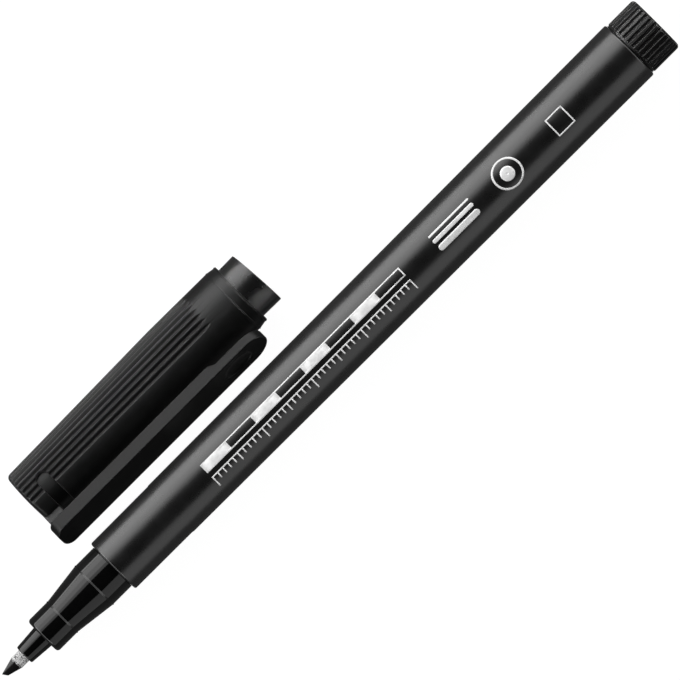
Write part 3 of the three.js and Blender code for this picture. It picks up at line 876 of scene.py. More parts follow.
def section_outline(section, barrel):
    """Front section: shown nose, then the spigot in the barrel, then the bores."""
    rear_edge = -section.seam
    cone_rear = -section.gap - section.rear_length
    cone_front = cone_rear - section.cone_length
    face = cone_front - section.front_length
    front = section.front_diameter / 2
    rear = section.rear_diameter / 2
    bore = section.holder_base / 2 + section.clearance
    spigot = barrel_bore(barrel, 0) - section.clearance
    chamber = spigot - section.spigot_wall
    stop = face + section.holder_shank
    small = section.edge_radius
    return [
        (face, bore, small),
        (face, front, section.face_radius),
        *bead(cone_front, front, section.bead_height, section.bead_width),
        *bead(cone_rear, rear, section.bead_height, section.bead_width),
        (rear_edge, rear, small),
        (rear_edge, spigot, 0),
        (section.spigot_length, spigot, small),
        (section.spigot_length, chamber, small),
        (stop + section.stop_length, chamber, 0),
        (stop + section.stop_length, bore, 0),
    ]


def holder_outline(section, nib):
    """Nib holder: tapered tip, then the shank in the section."""
    tip = holder_tip(section)
    face = tip + section.holder_shown
    bore = nib.diameter / 2 + nib.clearance
    return [
        (tip, bore, THIN_EDGE),
        (tip, section.holder_tip / 2, section.holder_edge),
        (face, section.holder_base / 2, 0),
        (face + section.holder_shank, section.holder_base / 2, HIDDEN_EDGE),
        (face + section.holder_shank, bore, 0),
    ]


def nib_mesh(nib, tip, end):
    """Rod with a cone, whose tip is worn off at a slant with soft edges."""
    cone = tip + nib.cone_length
    small = nib.tip_diameter / 2
    full = nib.diameter / 2 * FLAT_SHARE
    tip_steps, cone_steps, rod_steps = 8, 40, 20
    outline = [(tip, radius) for radius in spaced(0, small, tip_steps)]
    outline += list(zip(spaced(tip, cone, cone_steps), spaced(small, full, cone_steps)))[1:]
    outline += [(along, full) for along in spaced(cone, end, rod_steps)[1:]]
    outline += [(end, full / 2), (end, 0)]
    mesh = turned_mesh("nib_rod", outline, NIB_COLUMNS)
    lean = math.tan(nib.slant)
    for vertex in mesh.vertices:
        worn = tip + (small - vertex.co.y) * lean
        gap = vertex.co.x - worn
        # a soft maximum of the vertex's own place and the worn face
        vertex.co.x = worn + (gap + math.sqrt(gap * gap + nib.softness**2)) / 2
    return mesh


def plug_mesh(plug, barrel, seam_end):
    """Ribbed head with a rounded rear edge, on a hollow spigot."""
    radius = barrel.rear_diameter / 2 - plug.inset
    start = barrel.length + barrel.rear_reach + plug.seam
    ribs = start + plug.collar_length
    rear = seam_end + plug.head_length
    spigot_front = barrel.length - plug.spigot_length
    spigot = barrel_bore(barrel, spigot_front) - plug.clearance
    inside = spigot - plug.spigot_wall
    bottom = rear - plug.end_wall
    corner_steps, lead_steps, rib_steps = 10, 6, 12
    outline = rounded([
        (bottom, 0, 0),
        (bottom, inside, 0),
        (spigot_front, inside, HIDDEN_EDGE),
        (spigot_front, spigot, 2 * HIDDEN_EDGE),
        (start, spigot, 0),
        (start, radius - THIN_EDGE, 0),
        (start + plug.collar_length / 2, radius - plug.collar_depth, 0),
        (ribs, radius, 0),
        (rear, radius, plug.edge_radius),
        (rear, 0, 0),
    ], corner_steps)
    stations = spaced(ribs, ribs + GROOVE_LEAD, lead_steps) + spaced(ribs, rear, rib_steps)
    outline = with_stations(outline, stations)
    columns = plug.ribs * RIB_COLUMNS
    points = []
    for along, reach in outline:
        lead = smooth(ribs, ribs + RIB_LEAD, along)
        ribbed = along > start - WELD_DISTANCE and reach > spigot
        for column in range(columns):
            offset = column / RIB_COLUMNS - round(column / RIB_COLUMNS)
            groove = radius - plug.rib_depth * v_groove(offset, RIB_EDGE) * lead
            here = min(reach, groove) if ribbed else reach
            points.append(around(along, here, 2 * math.pi * column / columns))
    return welded_mesh("ribbed_plug", points, grid_faces(len(outline), columns))


# Pieces of the cap

class VentSlot:
    """Vent slot of the cap shell, measured along the cap and round its girth."""

    def __init__(self, cap, crests):
        self.half = cap.vent_width / 2
        self.wide = self.half + cap.vent_edge
        self.middle = cap.end_wall + cap.vent_from_wall + self.half
        self.girth = radius_at(crests, self.middle)
        self.straight = cap.vent_reach * self.girth - self.half  # from the clip to a round end

    def opening(self, side, reach):
        """Half of its width at an angle, mirrored past its round ends."""
        past = max(abs(side) * self.girth - self.straight, 0.0)
        past = max(min(past, 2 * reach - past), 0.0)
        return math.sqrt(max(reach**2 - past**2, 0.0))

    def edge_place(self, side, sign):
        """For an angle on its edge: the nearest place on its midline, and the way out."""
        here = side * self.girth
        centre = min(max(here, -self.straight), self.straight)
        along_share = sign * self.opening(side, self.wide) / self.wide
        return centre, along_share, (here - centre) / self.wide

    def at(self, place, reach):
        """Place along the cap and angle round it, at a reach from the midline."""
        centre, along_share, side_share = place
        return self.middle + along_share * reach, (centre + side_share * reach) / self.girth


def cap_crests(cap, mouth_bore):
    """Outside of the cap shell over its crests, from the middle of the closed end."""
    end = cap.end_diameter / 2
    body = cap.body_diameter / 2
    lip = body - cap.lip_depth
    height, width = cap.bead_height, cap.bead_width
    dome_reach, dome_steps = 0.8, 8
    shares = spaced(0, dome_reach, dome_steps)
    dome = [(cap.end_dome * share**2, end * share, 0) for share in shares]
    return rounded([
        *dome,
        (cap.end_dome, end, cap.end_edge),
        (cap.length - cap.straight_length, body, 0),
        *bead(cap.length - cap.lip_length, body - height, height, width),
        *bead(cap.length - width, lip, height, width),
        (cap.length, lip, cap.lip_edge / 2),
        (cap.length, mouth_bore, 0),
    ])


def cap_outside(cap, slot, crests):
    """Its crests with stations at the grooves' ends and beside the slot."""
    points_end = cap.length - cap.collar_length
    points_start = points_end - cap.point_length
    lead_steps, body_steps, point_steps = 5, 8, 24
    stations = spaced(cap.groove_start, cap.groove_start + GROOVE_LEAD, lead_steps)
    for reach in (slot.wide, slot.wide + SLOT_STRIP):
        stations += [slot.middle - reach, slot.middle + reach]
    stations += spaced(slot.middle + 3 * slot.wide, points_start, body_steps)
    stations += spaced(points_start, points_end, point_steps)
    return with_stations(crests, stations)


def cap_inside(cap, sleeve, slot, mouth_bore):
    """Inside of the shell, from the inner cap's seat to the middle of the end wall."""
    mouth = cap.length + sleeve.projection
    end = sleeve_end(cap, sleeve)
    seat = end - sleeve.seat_gap
    space = cap.space_diameter / 2
    return [
        (seat, mouth_bore - sleeve.draft * (mouth - seat) / (mouth - end)),
        (seat, space),
        (slot.middle + slot.half, space),
        (slot.middle - slot.half, space),
        (cap.end_wall, space),
        (cap.end_wall, 0),
    ]


def groove_offset(cap, angle):
    """Share of the pitch from the middle of the groove at an angle, or None off the grooves."""
    first = math.pi - cap.grooves * cap.pitch / 2
    number, share = divmod((angle - first) / cap.pitch, 1)
    return share - 0.5 if 0 <= number < cap.grooves else None


def groove_point(cap, along):
    """How far a place is into the grooves' points, from 0 to 1."""
    end = cap.length - cap.collar_length
    return way(end - cap.point_length, end, along)


def groove_turn(cap, along, angle):
    """Angle of a column at a place: near the points, the columns close in on each groove."""
    offset = groove_offset(cap, angle)
    if offset is None:
        return angle
    width = max(math.sqrt(1 - groove_point(cap, along) ** 2), GROOVE_TIP)
    if abs(offset) <= GROOVE_EDGE:
        moved = offset * width
    else:
        edge = GROOVE_EDGE * width
        beyond = (abs(offset) - GROOVE_EDGE) / (0.5 - GROOVE_EDGE)
        moved = math.copysign(edge + (0.5 - edge) * beyond, offset)
    return angle + (moved - offset) * cap.pitch


def groove_cut(cap, along, angle):
    """Depth of the grooves at a place and column."""
    offset = groove_offset(cap, angle)
    if offset is None:
        return 0.0
    begin = smooth(cap.groove_start, cap.groove_start + GROOVE_LEAD, along)
    end = 1 - groove_point(cap, along) ** 3
    return cap.groove_depth * v_groove(offset, GROOVE_EDGE) * begin * end


def cap_angles(cap, slot):
    """Columns of the cap shell: over the grooves, the smooth band and the slot's round ends."""
    first = math.pi - cap.grooves * cap.pitch / 2
    last = first + cap.grooves * cap.pitch
    angles = spaced(first, last, cap.grooves * GROOVE_COLUMNS)[:-1]
    angles += spaced(last, first + 2 * math.pi, BAND_COLUMNS)[:-1]
    angles = [angle % (2 * math.pi) for angle in angles]
    for side in (slot.straight + slot.wide, slot.straight):
        for angle in (side / slot.girth, 2 * math.pi - side / slot.girth):
            nearest = min(angles, key=lambda other: abs(other - angle))
            angles[angles.index(nearest)] = angle
    return sorted(angles)


def cap_mesh(cap, sleeve):
    """Cap shell: one grid of points outside and inside, with the vent slot left out."""
    mouth_bore = sleeve.diameter / 2 + sleeve.clearance
    crests = cap_crests(cap, mouth_bore)
    slot = VentSlot(cap, crests)
    outer = cap_outside(cap, slot, crests)
    inner = cap_inside(cap, sleeve, slot, mouth_bore)
    angles = cap_angles(cap, slot)
    columns = len(angles)
    sides = [angle if angle < math.pi else angle - 2 * math.pi for angle in angles]

    start = slot.middle - slot.wide
    near = next(row for row, point in enumerate(outer) if abs(point[0] - start) < WELD_DISTANCE)
    signs = {near: -1, near + 1: 1}  # rows that follow the slot's edge, before and behind it
    points = []
    for row, (along, reach) in enumerate(outer):
        for angle, side in zip(angles, sides):
            here = along
            if row in signs:
                here = slot.middle + signs[row] * slot.opening(side, slot.wide)
            radius = reach - groove_cut(cap, here, angle)
            points.append(around(here, radius * CAP_SHARE, groove_turn(cap, here, angle)))
    for along, reach in inner:
        points += [around(along, reach, angle) for angle in angles]

    inside = len(outer) + 2  # first row of the slot on the inside
    widest = (slot.straight + slot.wide + WELD_DISTANCE) / slot.girth
    cut = [column for column in range(columns) if abs(sides[column]) <= widest]
    cut.sort(key=lambda column: sides[column])
    left_out = set(cut[:-1])

    def keep(row, column):
        """Whether a face stays, as it isn't in the slot."""
        return row not in (near, inside) or column not in left_out

    faces = grid_faces(len(outer) + len(inner), columns, keep=keep)
    edge = []
    for row, inner_row, run in ((near, inside + 1, cut), (near + 1, inside, cut[::-1])):
        for column in run:
            place = slot.edge_place(sides[column], signs[row])
            edge.append((row * columns + column, inner_row * columns + column, place))
    faces += slot_wall(cap, slot, outer, edge, points)
    return welded_mesh("cap_ribbed", points, faces)


def slot_wall(cap, slot, outer, edge, points):
    """Rounded edge and wall of the vent slot: adds their points and gives their faces.

    Its edge is a list of (outer point, inner point, place that edge_place gives).
    """
    loops = [[outer_point for outer_point, inner_point, place in edge]]
    for lean in spaced(0, math.pi / 2, ARC_STEPS)[1:]:
        reach = slot.half + cap.vent_edge * (1 - math.sin(lean))
        drop = cap.vent_edge * (1 - math.cos(lean))
        first = len(points)
        for outer_point, inner_point, place in edge:
            along, angle = slot.at(place, reach)
            radius = radius_at(outer, along) - groove_cut(cap, along, angle % (2 * math.pi))
            points.append(around(along, (radius - drop) * CAP_SHARE, angle))
        loops.append(list(range(first, len(points))))
    for outer_point, inner_point, place in edge:
        along, angle = slot.at(place, slot.half)
        points[inner_point] = around(along, cap.space_diameter / 2, angle)
    loops.append([inner_point for outer_point, inner_point, place in edge])
    faces = []
    for near, far in zip(loops, loops[1:]):
        for i in range(len(edge)):
            after = (i + 1) % len(edge)
            faces.append([near[i], near[after], far[after], far[i]])
    return faces


def slot_floor_mesh(cap):
    """Floor of the vent slot: a bent strip whose edges are sunk in the shell's wall."""
    sunk, fine = cap.floor_sunk, cap.floor_edge
    start = cap.end_wall + cap.vent_from_wall - sunk
    end = start + cap.vent_width + 2 * sunk
    high = cap.end_diameter / 2 - cap.vent_depth
    low = cap.space_diameter / 2
    corners = (
        (start, low), (start, high - fine), (start, high), (start + fine, high),
        (end - fine, high), (end, high), (end, high - fine), (end, low),
    )
    reach = cap.vent_reach + sunk / high
    bend_steps = 80
    angles = spaced(-reach, reach, bend_steps)
    points = [around(along, radius, angle) for angle in angles for along, radius in corners]
    faces = grid_faces(len(angles), len(corners))
    first_end = list(range(len(corners)))
    last_end = [len(points) - 1 - i for i in first_end]
    return welded_mesh("cap_slot_floor", points, faces + [first_end, last_end])


def sleeve_end(cap, sleeve):
    """Place of the inner cap's closed end along the cap."""
    return cap.length + sleeve.projection - sleeve.depth - sleeve.end_wall


def sleeve_outline(cap, sleeve):
    """Inner cap from the middle of its closed end round its rim to the middle of its bore."""
    mouth = cap.length + sleeve.projection
    bottom = mouth - sleeve.depth
    end = bottom - sleeve.end_wall
    outside = sleeve.diameter / 2
    bore = outside - sleeve.wall
    return [
        (end, 0, 0),
        (end, outside - sleeve.draft, sleeve.end_edge),
        (mouth, outside, sleeve.rim_radius),
        (mouth, bore, sleeve.rim_radius),
        (mouth - sleeve.seal_length, bore, 0),
        (bottom, bore - sleeve.draft, sleeve.bore_edge),
        (bottom, 0, 0),
    ]


def clip_plan(clip, root, tip):
    """Outline of the clip from above: round tip, straight sides and a root with corners."""
    half = clip.width / 2
    corner = clip.corner_radius
    blunt = clip.tip_round
    heel = root + corner
    quarter = math.pi / 2
    tip_steps, side_steps, corner_steps, root_steps = 48, 150, 12, 8
    plan = []
    for angle in spaced(-quarter, quarter, tip_steps):
        plan.append((tip - blunt + blunt * math.cos(angle), half * math.sin(angle)))
    straight = spaced(tip - blunt, heel, side_steps)[1:]
    plan += [(along, half) for along in straight]
    plan += arc_points(heel, half - corner, corner, quarter, 2 * quarter, corner_steps)[1:]
    plan += [(root, side) for side in spaced(half - corner, corner - half, root_steps)[1:]]
    plan += arc_points(heel, corner - half, corner, 2 * quarter, 3 * quarter, corner_steps)[1:]
    plan += [(along, -half) for along in reversed(straight[:-1])]
    return plan


def clip_mesh(clip, cap):
    """Clip: rings that run in from the outline over the top, down the sides and under."""
    root = -clip.overhang
    tip = cap.length - clip.short_of_mouth
    half = clip.width / 2
    under = cap.body_diameter / 2 + clip.gap
    top = under + clip.thickness
    thin = tip - clip.tip_length
    plan = clip_plan(clip, root, tip)
    edge = clip.edge_radius

    def crown(along, side):
        """Height of the top, with the dimple."""
        x = (along - tip + clip.dimple_place) / (clip.dimple_length / 2)
        y = side / (clip.dimple_width / 2)
        return top - clip.dimple_depth * math.sqrt(max(0.0, 1 - x * x - y * y))

    def floor(along):
        """Height of the underside, with the step up to the tip."""
        rise = smooth(thin - clip.step_length, thin, along)
        return under + (clip.thickness - clip.tip_thickness) * rise

    # rings are (share of the way in from the outline, face, drop or part of the height)
    arc = spaced(0, math.pi / 2, ARC_STEPS)
    soft = edge / half
    top_rings, side_rings, under_rings = 24, 6, 8
    rings = [(share, "top", 0) for share in spaced(1, soft, top_rings)[:-1]]
    rings += [(soft * (1 - math.sin(a)), "top", edge * (1 - math.cos(a))) for a in arc]
    rings += [(0, "side", part) for part in spaced(0, 1, side_rings)[1:-1]]
    rings += [(soft * (1 - math.cos(a)), "under", edge * (1 - math.sin(a))) for a in arc]
    rings += [(share, "under", 0) for share in spaced(soft, 1, under_rings)[1:]]
    points = []
    for share, face, drop in rings:
        for along, side in plan:
            spine = min(max(along, root + half), tip - clip.tip_round)
            x = along + (spine - along) * share
            y = side * (1 - share)
            if face == "top":
                height = crown(x, y) - drop
            elif face == "under":
                height = floor(x) + drop
            else:
                high = crown(x, y) - edge
                height = high + (floor(x) + edge - high) * drop
            points.append((x, y, height))
    return welded_mesh("clip_arm", points, grid_faces(len(rings), len(plan)))


def bridge_mesh(clip, cap):
    """Upright block between the shell and the clip's root, with rounded corners.

    Its top falls away towards the closed end, which leaves room for the clip to flex.
    """
    depth = cap.end_wall + cap.vent_from_wall
    half = clip.bridge_width / 2
    corner = clip.bridge_corner
    start = cap.end_dome / 2 + corner
    low = cap.space_diameter / 2 + HIDDEN_EDGE
    top = cap.body_diameter / 2 + clip.gap - clip.bridge_gap
    corners = (
        (depth - corner, half - corner),
        (start, half - corner),
        (start, corner - half),
        (depth - corner, corner - half),
    )
    plan = []
    for number, (along, side) in enumerate(corners):
        begin, end = number * math.pi / 2, (number + 1) * math.pi / 2
        plan += arc_points(along, side, corner, begin, end, ARC_STEPS)
    level_steps = 12
    heights = spaced(low, top, level_steps)
    levels = [(low, 0.0), *((height, 1.0) for height in heights), (top, 0.0)]
    points = []
    for height, share in levels:
        for along, side in plan:
            behind = max(depth / 2 - along, 0.0) * share * (height - low) / (top - low)
            fall = behind * math.tan(clip.bridge_slope)
            points.append((depth / 2 + (along - depth / 2) * share, side * share, height - fall))
    return welded_mesh("cap_bridge", points, grid_faces(len(levels), len(plan)))


# Printed marks

def on_barrel(outline, marks, along, across, lift):
    """Point of a flat drawing laid round the barrel, across counted towards the cap's side."""
    radius = radius_at(outline, along)
    return around(along, radius + lift, across / radius - marks.turn)


def patch(drawing, rows, columns, form):
    """Adds a grid of flat (along, across) points, form(u, v), to a drawing."""
    points, faces = drawing
    start = len(points)
    for i in range(rows + 1):
        for j in range(columns + 1):
            points.append(form(i / rows, j / columns))
    for i in range(rows):
        for j in range(columns):
            a = start + i * (columns + 1) + j
            faces.append([a, a + 1, a + columns + 2, a + columns + 1])


def bar(drawing, left, right, low, high):
    """Upright rectangle."""
    step_across, step_along = 0.2 * MM, 2 * MM
    columns = max(1, round((high - low) / step_across))
    rows = max(1, round((right - left) / step_along))
    patch(drawing, rows, columns, lambda u, v: (left + (right - left) * u, low + (high - low) * v))


def hoop(drawing, along, across, outer, inner):
    """Ring, or a disc where the inner radius is nearly nothing."""
    step_out, steps_round = 0.3 * MM, 64

    def form(u, v):
        radius = inner + (outer - inner) * v
        angle = 2 * math.pi * u
        return (along + radius * math.cos(angle), across + radius * math.sin(angle))

    patch(drawing, steps_round, max(2, round((outer - inner) / step_out)), form)


def pill(drawing, left, right, across, width):
    """Line with round ends."""
    radius = width / 2
    steps_along, steps_across = 80, 4

    def form(u, v):
        x = left + (right - left) * u
        inset = max(0.0, left + radius - x, x - right + radius)
        reach = math.sqrt(max(radius**2 - inset**2, 0.0))
        return (x, across + reach * (2 * v - 1))

    patch(drawing, steps_along, steps_across, form)


def draw_scale(drawing, marks, end):
    """Row of blocks, filled and open by turns, over a line with ticks."""
    long_tick, middle_tick, short_tick = 1.9, 1.45, 1.0
    line = marks.line_width
    left = marks.scale_start
    high = marks.block_height
    for block in range(marks.divisions):
        start = left + block * marks.division
        if block % 2 == 0:
            bar(drawing, start, start + marks.division, 0, high)
        else:
            bar(drawing, start, start + marks.division, 0, line)
            bar(drawing, start, start + marks.division, high - line, high)
    bar(drawing, end - line, end, line, high - line)
    ruled = -marks.tick_gap
    bar(drawing, left, end, ruled - line, ruled)
    ticks = round((end - left) / MM)
    for tick in range(ticks + 1):
        share = long_tick if tick % 10 == 0 else middle_tick if tick % 5 == 0 else short_tick
        drop = marks.tick_height * share
        here = left + (end - left - line) * tick / ticks
        bar(drawing, here, here + line, ruled - line - drop, ruled - line)


def draw_square(drawing, left, side, line):
    """Square of fine lines."""
    half = side / 2
    for low in (-half, half - line):
        bar(drawing, left, left + side, low, low + line)
    for start in (left, left + side - line):
        bar(drawing, start, start + line, line - half, half - line)


def marks_mesh(marks, outline):
    """Scale, samples of three line widths, a target and a square."""
    drawing = ([], [])
    scale_end = marks.scale_start + marks.division * marks.divisions
    draw_scale(drawing, marks, scale_end)
    left = scale_end + marks.sample_gap
    right = left + marks.sample_length
    samples = ((0.3, 1.5), (0.6, 0.5), (1.0, -0.8))  # width and place of each, in millimetres
    for width, across in samples:
        pill(drawing, left, right, across * MM, width * MM)
    target = right + marks.target_gap
    hoop(drawing, target, 0, marks.target_radius, marks.target_radius - marks.ring_width)
    hoop(drawing, target, 0, marks.dot_radius, MICRON)
    draw_square(drawing, target + marks.square_gap, marks.square_side, marks.line_width)
    flat, faces = drawing
    points = [on_barrel(outline, marks, x, y, marks.relief) for x, y in flat]
    return welded_mesh("barrel_marks", points, faces, skin=True)


# Operators, one for each piece or group of like pieces

class MARKER_OT_barrel(Operator):
    """Builds the barrel, a turned tube with rounded rims."""

    bl_idname = "marker.build_barrel"
    bl_label = "Build Barrel"

    def execute(self, context):
        barrel = sizes().barrel
        corners = barrel_outline(barrel)
        rear = barrel.length + barrel.rear_reach
        corners.append((rear, barrel_bore(barrel, rear), HIDDEN_EDGE))
        corners.append((0, barrel_bore(barrel, 0), HIDDEN_EDGE))
        mesh = turned_piece("barrel_tube", corners)
        add_piece(mesh, "pen", "barrel_plastic", barrel_finish(), "barrel")
        return {"FINISHED"}


class MARKER_OT_section(Operator):
    """Builds the front section and the nib holder in it."""

    bl_idname = "marker.build_section"
    bl_label = "Build Front Section"

    def execute(self, context):
        section = sizes().section
        finish = section_finish()
        nose = turned_piece("section_nose", section_outline(section, sizes().barrel))
        add_piece(nose, "pen", "section_plastic", finish, "front_section")
        holder = turned_piece("nib_bush", holder_outline(section, sizes().nib))
        add_piece(holder, "pen", "section_plastic", finish, "nib_holder")
        return {"FINISHED"}


class MARKER_OT_nib(Operator):
    """Builds the fibre nib."""

    bl_idname = "marker.build_nib"
    bl_label = "Build Nib"

    def execute(self, context):
        nib = sizes().nib
        tip = holder_tip(sizes().section) - nib.shown
        end = sizes().section.spigot_length + sizes().reservoir.end_gap + nib.reach
        add_piece(nib_mesh(nib, tip, end), "pen", "nib_fibre", nib_finish(), "nib")
        return {"FINISHED"}


class MARKER_OT_reservoir(Operator):
    """Builds the wadding and its film inside the barrel."""

    bl_idname = "marker.build_reservoir"
    bl_label = "Build Ink Reservoir"

    def execute(self, context):
        reservoir, nib, barrel = sizes().reservoir, sizes().nib, sizes().barrel
        front = sizes().section.spigot_length + reservoir.end_gap
        rear = barrel.length - sizes().plug.spigot_length - reservoir.end_gap
        outside = barrel_bore(barrel, front) - reservoir.clearance
        inside = outside - reservoir.film
        film = turned_piece("film_tube", [
            (front, inside, THIN_EDGE), (front, outside, THIN_EDGE),
            (rear, outside, THIN_EDGE), (rear, inside, THIN_EDGE),
        ])
        add_piece(film, "pen", "clear_film", film_finish(), "reservoir_wrap")
        wadding = inside - reservoir.clearance
        pocket = front + nib.reach + reservoir.seam
        bore = nib.diameter / 2 + nib.clearance
        rod = turned_piece("wadding_rod", [
            (pocket, 0, 0), (pocket, bore, 0), (front, bore, HIDDEN_EDGE),
            (front, wadding, reservoir.edge), (rear, wadding, reservoir.edge), (rear, 0, 0),
        ])
        add_piece(rod, "pen", "wadding", wadding_finish(), "ink_reservoir")
        return {"FINISHED"}


class MARKER_OT_plug(Operator):
    """Builds the ribbed end plug."""

    bl_idname = "marker.build_plug"
    bl_label = "Build End Plug"

    def execute(self, context):
        barrel = sizes().barrel
        mesh = plug_mesh(sizes().plug, barrel, barrel.length + sizes().section.gap)
        add_piece(mesh, "pen", "cap_plastic", plug_finish(), "end_plug")
        return {"FINISHED"}


class MARKER_OT_cap(Operator):
    """Builds the grooved cap shell, the bridge under the clip's root and the slot's floor."""

    bl_idname = "marker.build_cap"
    bl_label = "Build Cap Shell"

    def execute(self, context):
        cap = sizes().cap
        finish = cap_finish()
        add_piece(cap_mesh(cap, sizes().sleeve), "cap", "cap_plastic", finish, "cap_shell")
        add_piece(bridge_mesh(sizes().clip, cap), "cap", "cap_plastic", finish)
        add_piece(slot_floor_mesh(cap), "cap", "cap_plastic", finish)
        return {"FINISHED"}


class MARKER_OT_sleeve(Operator):
    """Builds the inner cap that stands out of the cap's mouth."""

    bl_idname = "marker.build_sleeve"
    bl_label = "Build Inner Cap"

    def execute(self, context):
        cap, sleeve = sizes().cap, sizes().sleeve
        mesh = turned_piece("inner_sleeve", sleeve_outline(cap, sleeve))
        start, end = cap.length - sleeve.projection, cap.length + sleeve.projection
        for vertex in mesh.vertices:
            shown = smooth(start, end, vertex.co.x)
            vertex.co.x += math.tan(sleeve.slant) * vertex.co.z * shown
        add_piece(mesh, "cap", "barrel_plastic", barrel_finish(), "inner_cap")
        return {"FINISHED"}


class MARKER_OT_clip(Operator):
    """Builds the pocket clip."""

    bl_idname = "marker.build_clip"
    bl_label = "Build Clip"

    def execute(self, context):
        mesh = clip_mesh(sizes().clip, sizes().cap)
        add_piece(mesh, "clip", "cap_plastic", clip_finish(), "cap_clip")
        return {"FINISHED"}


class MARKER_OT_marks(Operator):
    """Prints the plain silver marks on the barrel."""

    bl_idname = "marker.build_marks"
    bl_label = "Print Marks"

    def execute(self, context):
        marks = sizes().marks
        surface = narrowed([corner[:2] for corner in barrel_outline(sizes().barrel)])
        mesh = marks_mesh(marks, surface)
        piece = add_piece(mesh, "pen", "barrel_plastic", print_finish())
        thick = piece.modifiers.new("Ink film", "SOLIDIFY")
        thick.thickness = marks.relief + marks.sunk
        thick.offset = -1
        return {"FINISHED"}


class MARKER_OT_stage(Operator):
    """Sets up the floor, lamps, studio walls and camera."""

    bl_idname = "marker.build_stage"
    bl_label = "Build Stage"

    def execute(self, context):
        stage = sizes().stage
        build_floor(stage)
        build_lamps(stage)
        build_walls(stage)
        build_camera(stage)
        context.scene.view_settings.view_transform = "Standard"
        return {"FINISHED"}


def build_floor(stage):
    """Pale floor that is lifted to white where it shows and is mirrored."""
    half = stage.floor_size / 2
    corners = [(-half, -half, 0), (half, -half, 0), (half, half, 0), (-half, half, 0)]
    mesh = bpy.data.meshes.new("studio_floor")
    mesh.from_pydata(corners, [], [[0, 1, 2, 3]])
    floor = bpy.data.objects.new("studio_floor", mesh)
    bpy.context.scene.collection.objects.link(floor)
    material, tree, shader, coordinates = blank_material("Pale floor")
    cloud = noise(tree, coordinates, scale=3.0, detail=2.0)
    pale = colour_mix(tree, cloud, scaled(stage.floor, 0.99), scaled(stage.floor, 1.01))
    tree.links.new(pale, shader["Base Color"])
    shader["Roughness"].default_value = 0.8
    shader["Specular IOR Level"].default_value = 0.1
    rays = tree.nodes.new("ShaderNodeLightPath").outputs
    seen = math_node(tree, "MULTIPLY", rays["Is Camera Ray"], stage.lift)
    bounced = math_node(tree, "ADD", rays["Is Glossy Ray"], rays["Is Transmission Ray"])
    mirrored = math_node(tree, "MULTIPLY", bounced, stage.mirrored)
    shader["Emission Color"].default_value = (1.0, 1.0, 1.0, 1.0)
    tree.links.new(math_node(tree, "ADD", seen, mirrored), shader["Emission Strength"])
    mesh.materials.append(material)
    light_set(MATT_SET).objects.link(floor)
    floor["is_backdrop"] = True


def build_lamps(stage):
    """Long soft lamps, one under another, on both sides and beyond the marker's ends.

    The pen, the inner cap and the matt pieces are lit apart, as if they were photographed one
    by one. Only the matt pieces have the lamp above, and they have none on the far side.
    """
    near, far = Vector((0, 1, 0)), Vector((0, -1, 0))
    nib_end, plug_end = Vector((-1, 0, 0)), Vector((1, 0, 0))
    sides = {
        "crown": (near,),
        "high": (near,),
        "key": (near,),
        "core": (near,),
        "rim": (near,),
        "fill": (far,),
        "ends": (nib_end, plug_end),
    }
    for name, directions in sides.items():
        start = getattr(stage, name + "_start")
        end = getattr(stage, name + "_end")
        glow = getattr(stage, name + "_glow")
        for side in directions:
            if name != "crown":
                build_lamp(stage, side, start, end, glow, PEN_SET)
                build_lamp(stage, side, start, end, glow, SLEEVE_SET)
            if side != far:
                build_lamp(stage, side, start, end, glow, MATT_SET)


def build_lamp(stage, side, start, end, glow, lit):
    """Long lamp between two angles from straight up, for one set of pieces."""
    lamp = bpy.data.lights.new("Soft lamp", "AREA")
    lamp.shape = "RECTANGLE"
    lamp.size = stage.lamp_length
    lamp.size_y = 2 * stage.lamp_distance * math.tan((end - start) / 2)
    lamp.energy = math.pi * glow * lamp.size * lamp.size_y
    lamp.cycles.use_multiple_importance_sampling = lit == PEN_SET
    holder = bpy.data.objects.new("Soft lamp", lamp)
    bpy.context.scene.collection.objects.link(holder)
    lean = (start + end) / 2
    towards = side * math.sin(lean) + Vector((0, 0, math.cos(lean)))
    along = side.cross(Vector((0, 0, 1)))
    holder.matrix_world = place(towards * stage.lamp_distance, along, towards.cross(along))
    holder.visible_camera = False
    holder.light_linking.receiver_collection = light_set(lit)
    if lit != MATT_SET:
        holder.light_linking.blocker_collection = light_set(lit)


def build_walls(stage):
    """Dark walls round the lamps."""
    world = bpy.data.worlds.new("Studio")
    bpy.context.scene.world = world
    world.use_nodes = True
    world.node_tree.nodes["Background"].inputs["Strength"].default_value = stage.glow


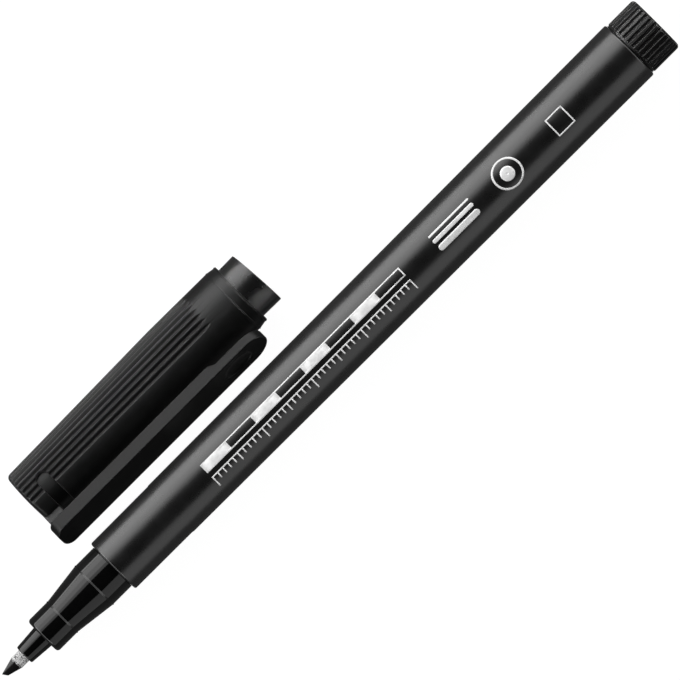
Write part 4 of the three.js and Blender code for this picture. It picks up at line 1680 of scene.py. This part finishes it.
def build_camera(stage):
    """Camera that looks straight down on the marker."""
    camera = bpy.data.cameras.new("Camera")
    distance = stage.camera_height - stage.axis_height
    camera.lens = camera.sensor_width * distance / stage.view_width
    camera.clip_start = 10 * MM
    camera.clip_end = 20000 * MM
    holder = bpy.data.objects.new("Camera", camera)
    bpy.context.scene.collection.objects.link(holder)
    holder.location = (stage.camera_along, -stage.camera_across, stage.camera_height)
    holder.rotation_euler = (0, 0, stage.camera_turn)
    bpy.context.scene.camera = holder


OPERATORS = (
    MARKER_OT_stage,
    MARKER_OT_barrel,
    MARKER_OT_section,
    MARKER_OT_nib,
    MARKER_OT_reservoir,
    MARKER_OT_plug,
    MARKER_OT_cap,
    MARKER_OT_sleeve,
    MARKER_OT_clip,
    MARKER_OT_marks,
)


class VIEW3D_PT_marker(Panel):
    """Lists the marker's pieces in the sidebar."""

    bl_idname = "VIEW3D_PT_marker"
    bl_label = "Marker"
    bl_space_type = "VIEW_3D"
    bl_region_type = "UI"
    bl_category = "Marker"

    def draw(self, context):
        for operator in OPERATORS:
            self.layout.operator(operator.bl_idname)


GROUPS = (
    BarrelSizes, SectionSizes, NibSizes, ReservoirSizes, PlugSizes, CapSizes, SleeveSizes,
    ClipSizes, MarkSizes, Finishes, StageSizes, MarkerSettings,
)
CLASSES = (*GROUPS, *OPERATORS, VIEW3D_PT_marker)


def register():
    """Makes the settings, operators and panel known."""
    for made in CLASSES:
        bpy.utils.register_class(made)
    bpy.types.Scene.marker = PointerProperty(type=MarkerSettings)


def unregister():
    """Takes them out again."""
    del bpy.types.Scene.marker
    for made in reversed(CLASSES):
        bpy.utils.unregister_class(made)


def write_sizes():
    """Works out the frame's box and the visible model's box."""
    boxes = {"cad": cad_box, "visual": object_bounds()}
    {name: [list(low), list(high)] for name, (low, high) in boxes.items()}


def main():
    """Builds the stage and every piece in order."""
    register()
    bpy.ops.marker.build_stage()
    bpy.ops.marker.build_barrel()
    bpy.ops.marker.build_section()
    bpy.ops.marker.build_nib()
    bpy.ops.marker.build_reservoir()
    bpy.ops.marker.build_plug()
    bpy.ops.marker.build_cap()
    bpy.ops.marker.build_sleeve()
    bpy.ops.marker.build_clip()
    bpy.ops.marker.build_marks()
    write_sizes()


if __name__ == "__main__":
    main()
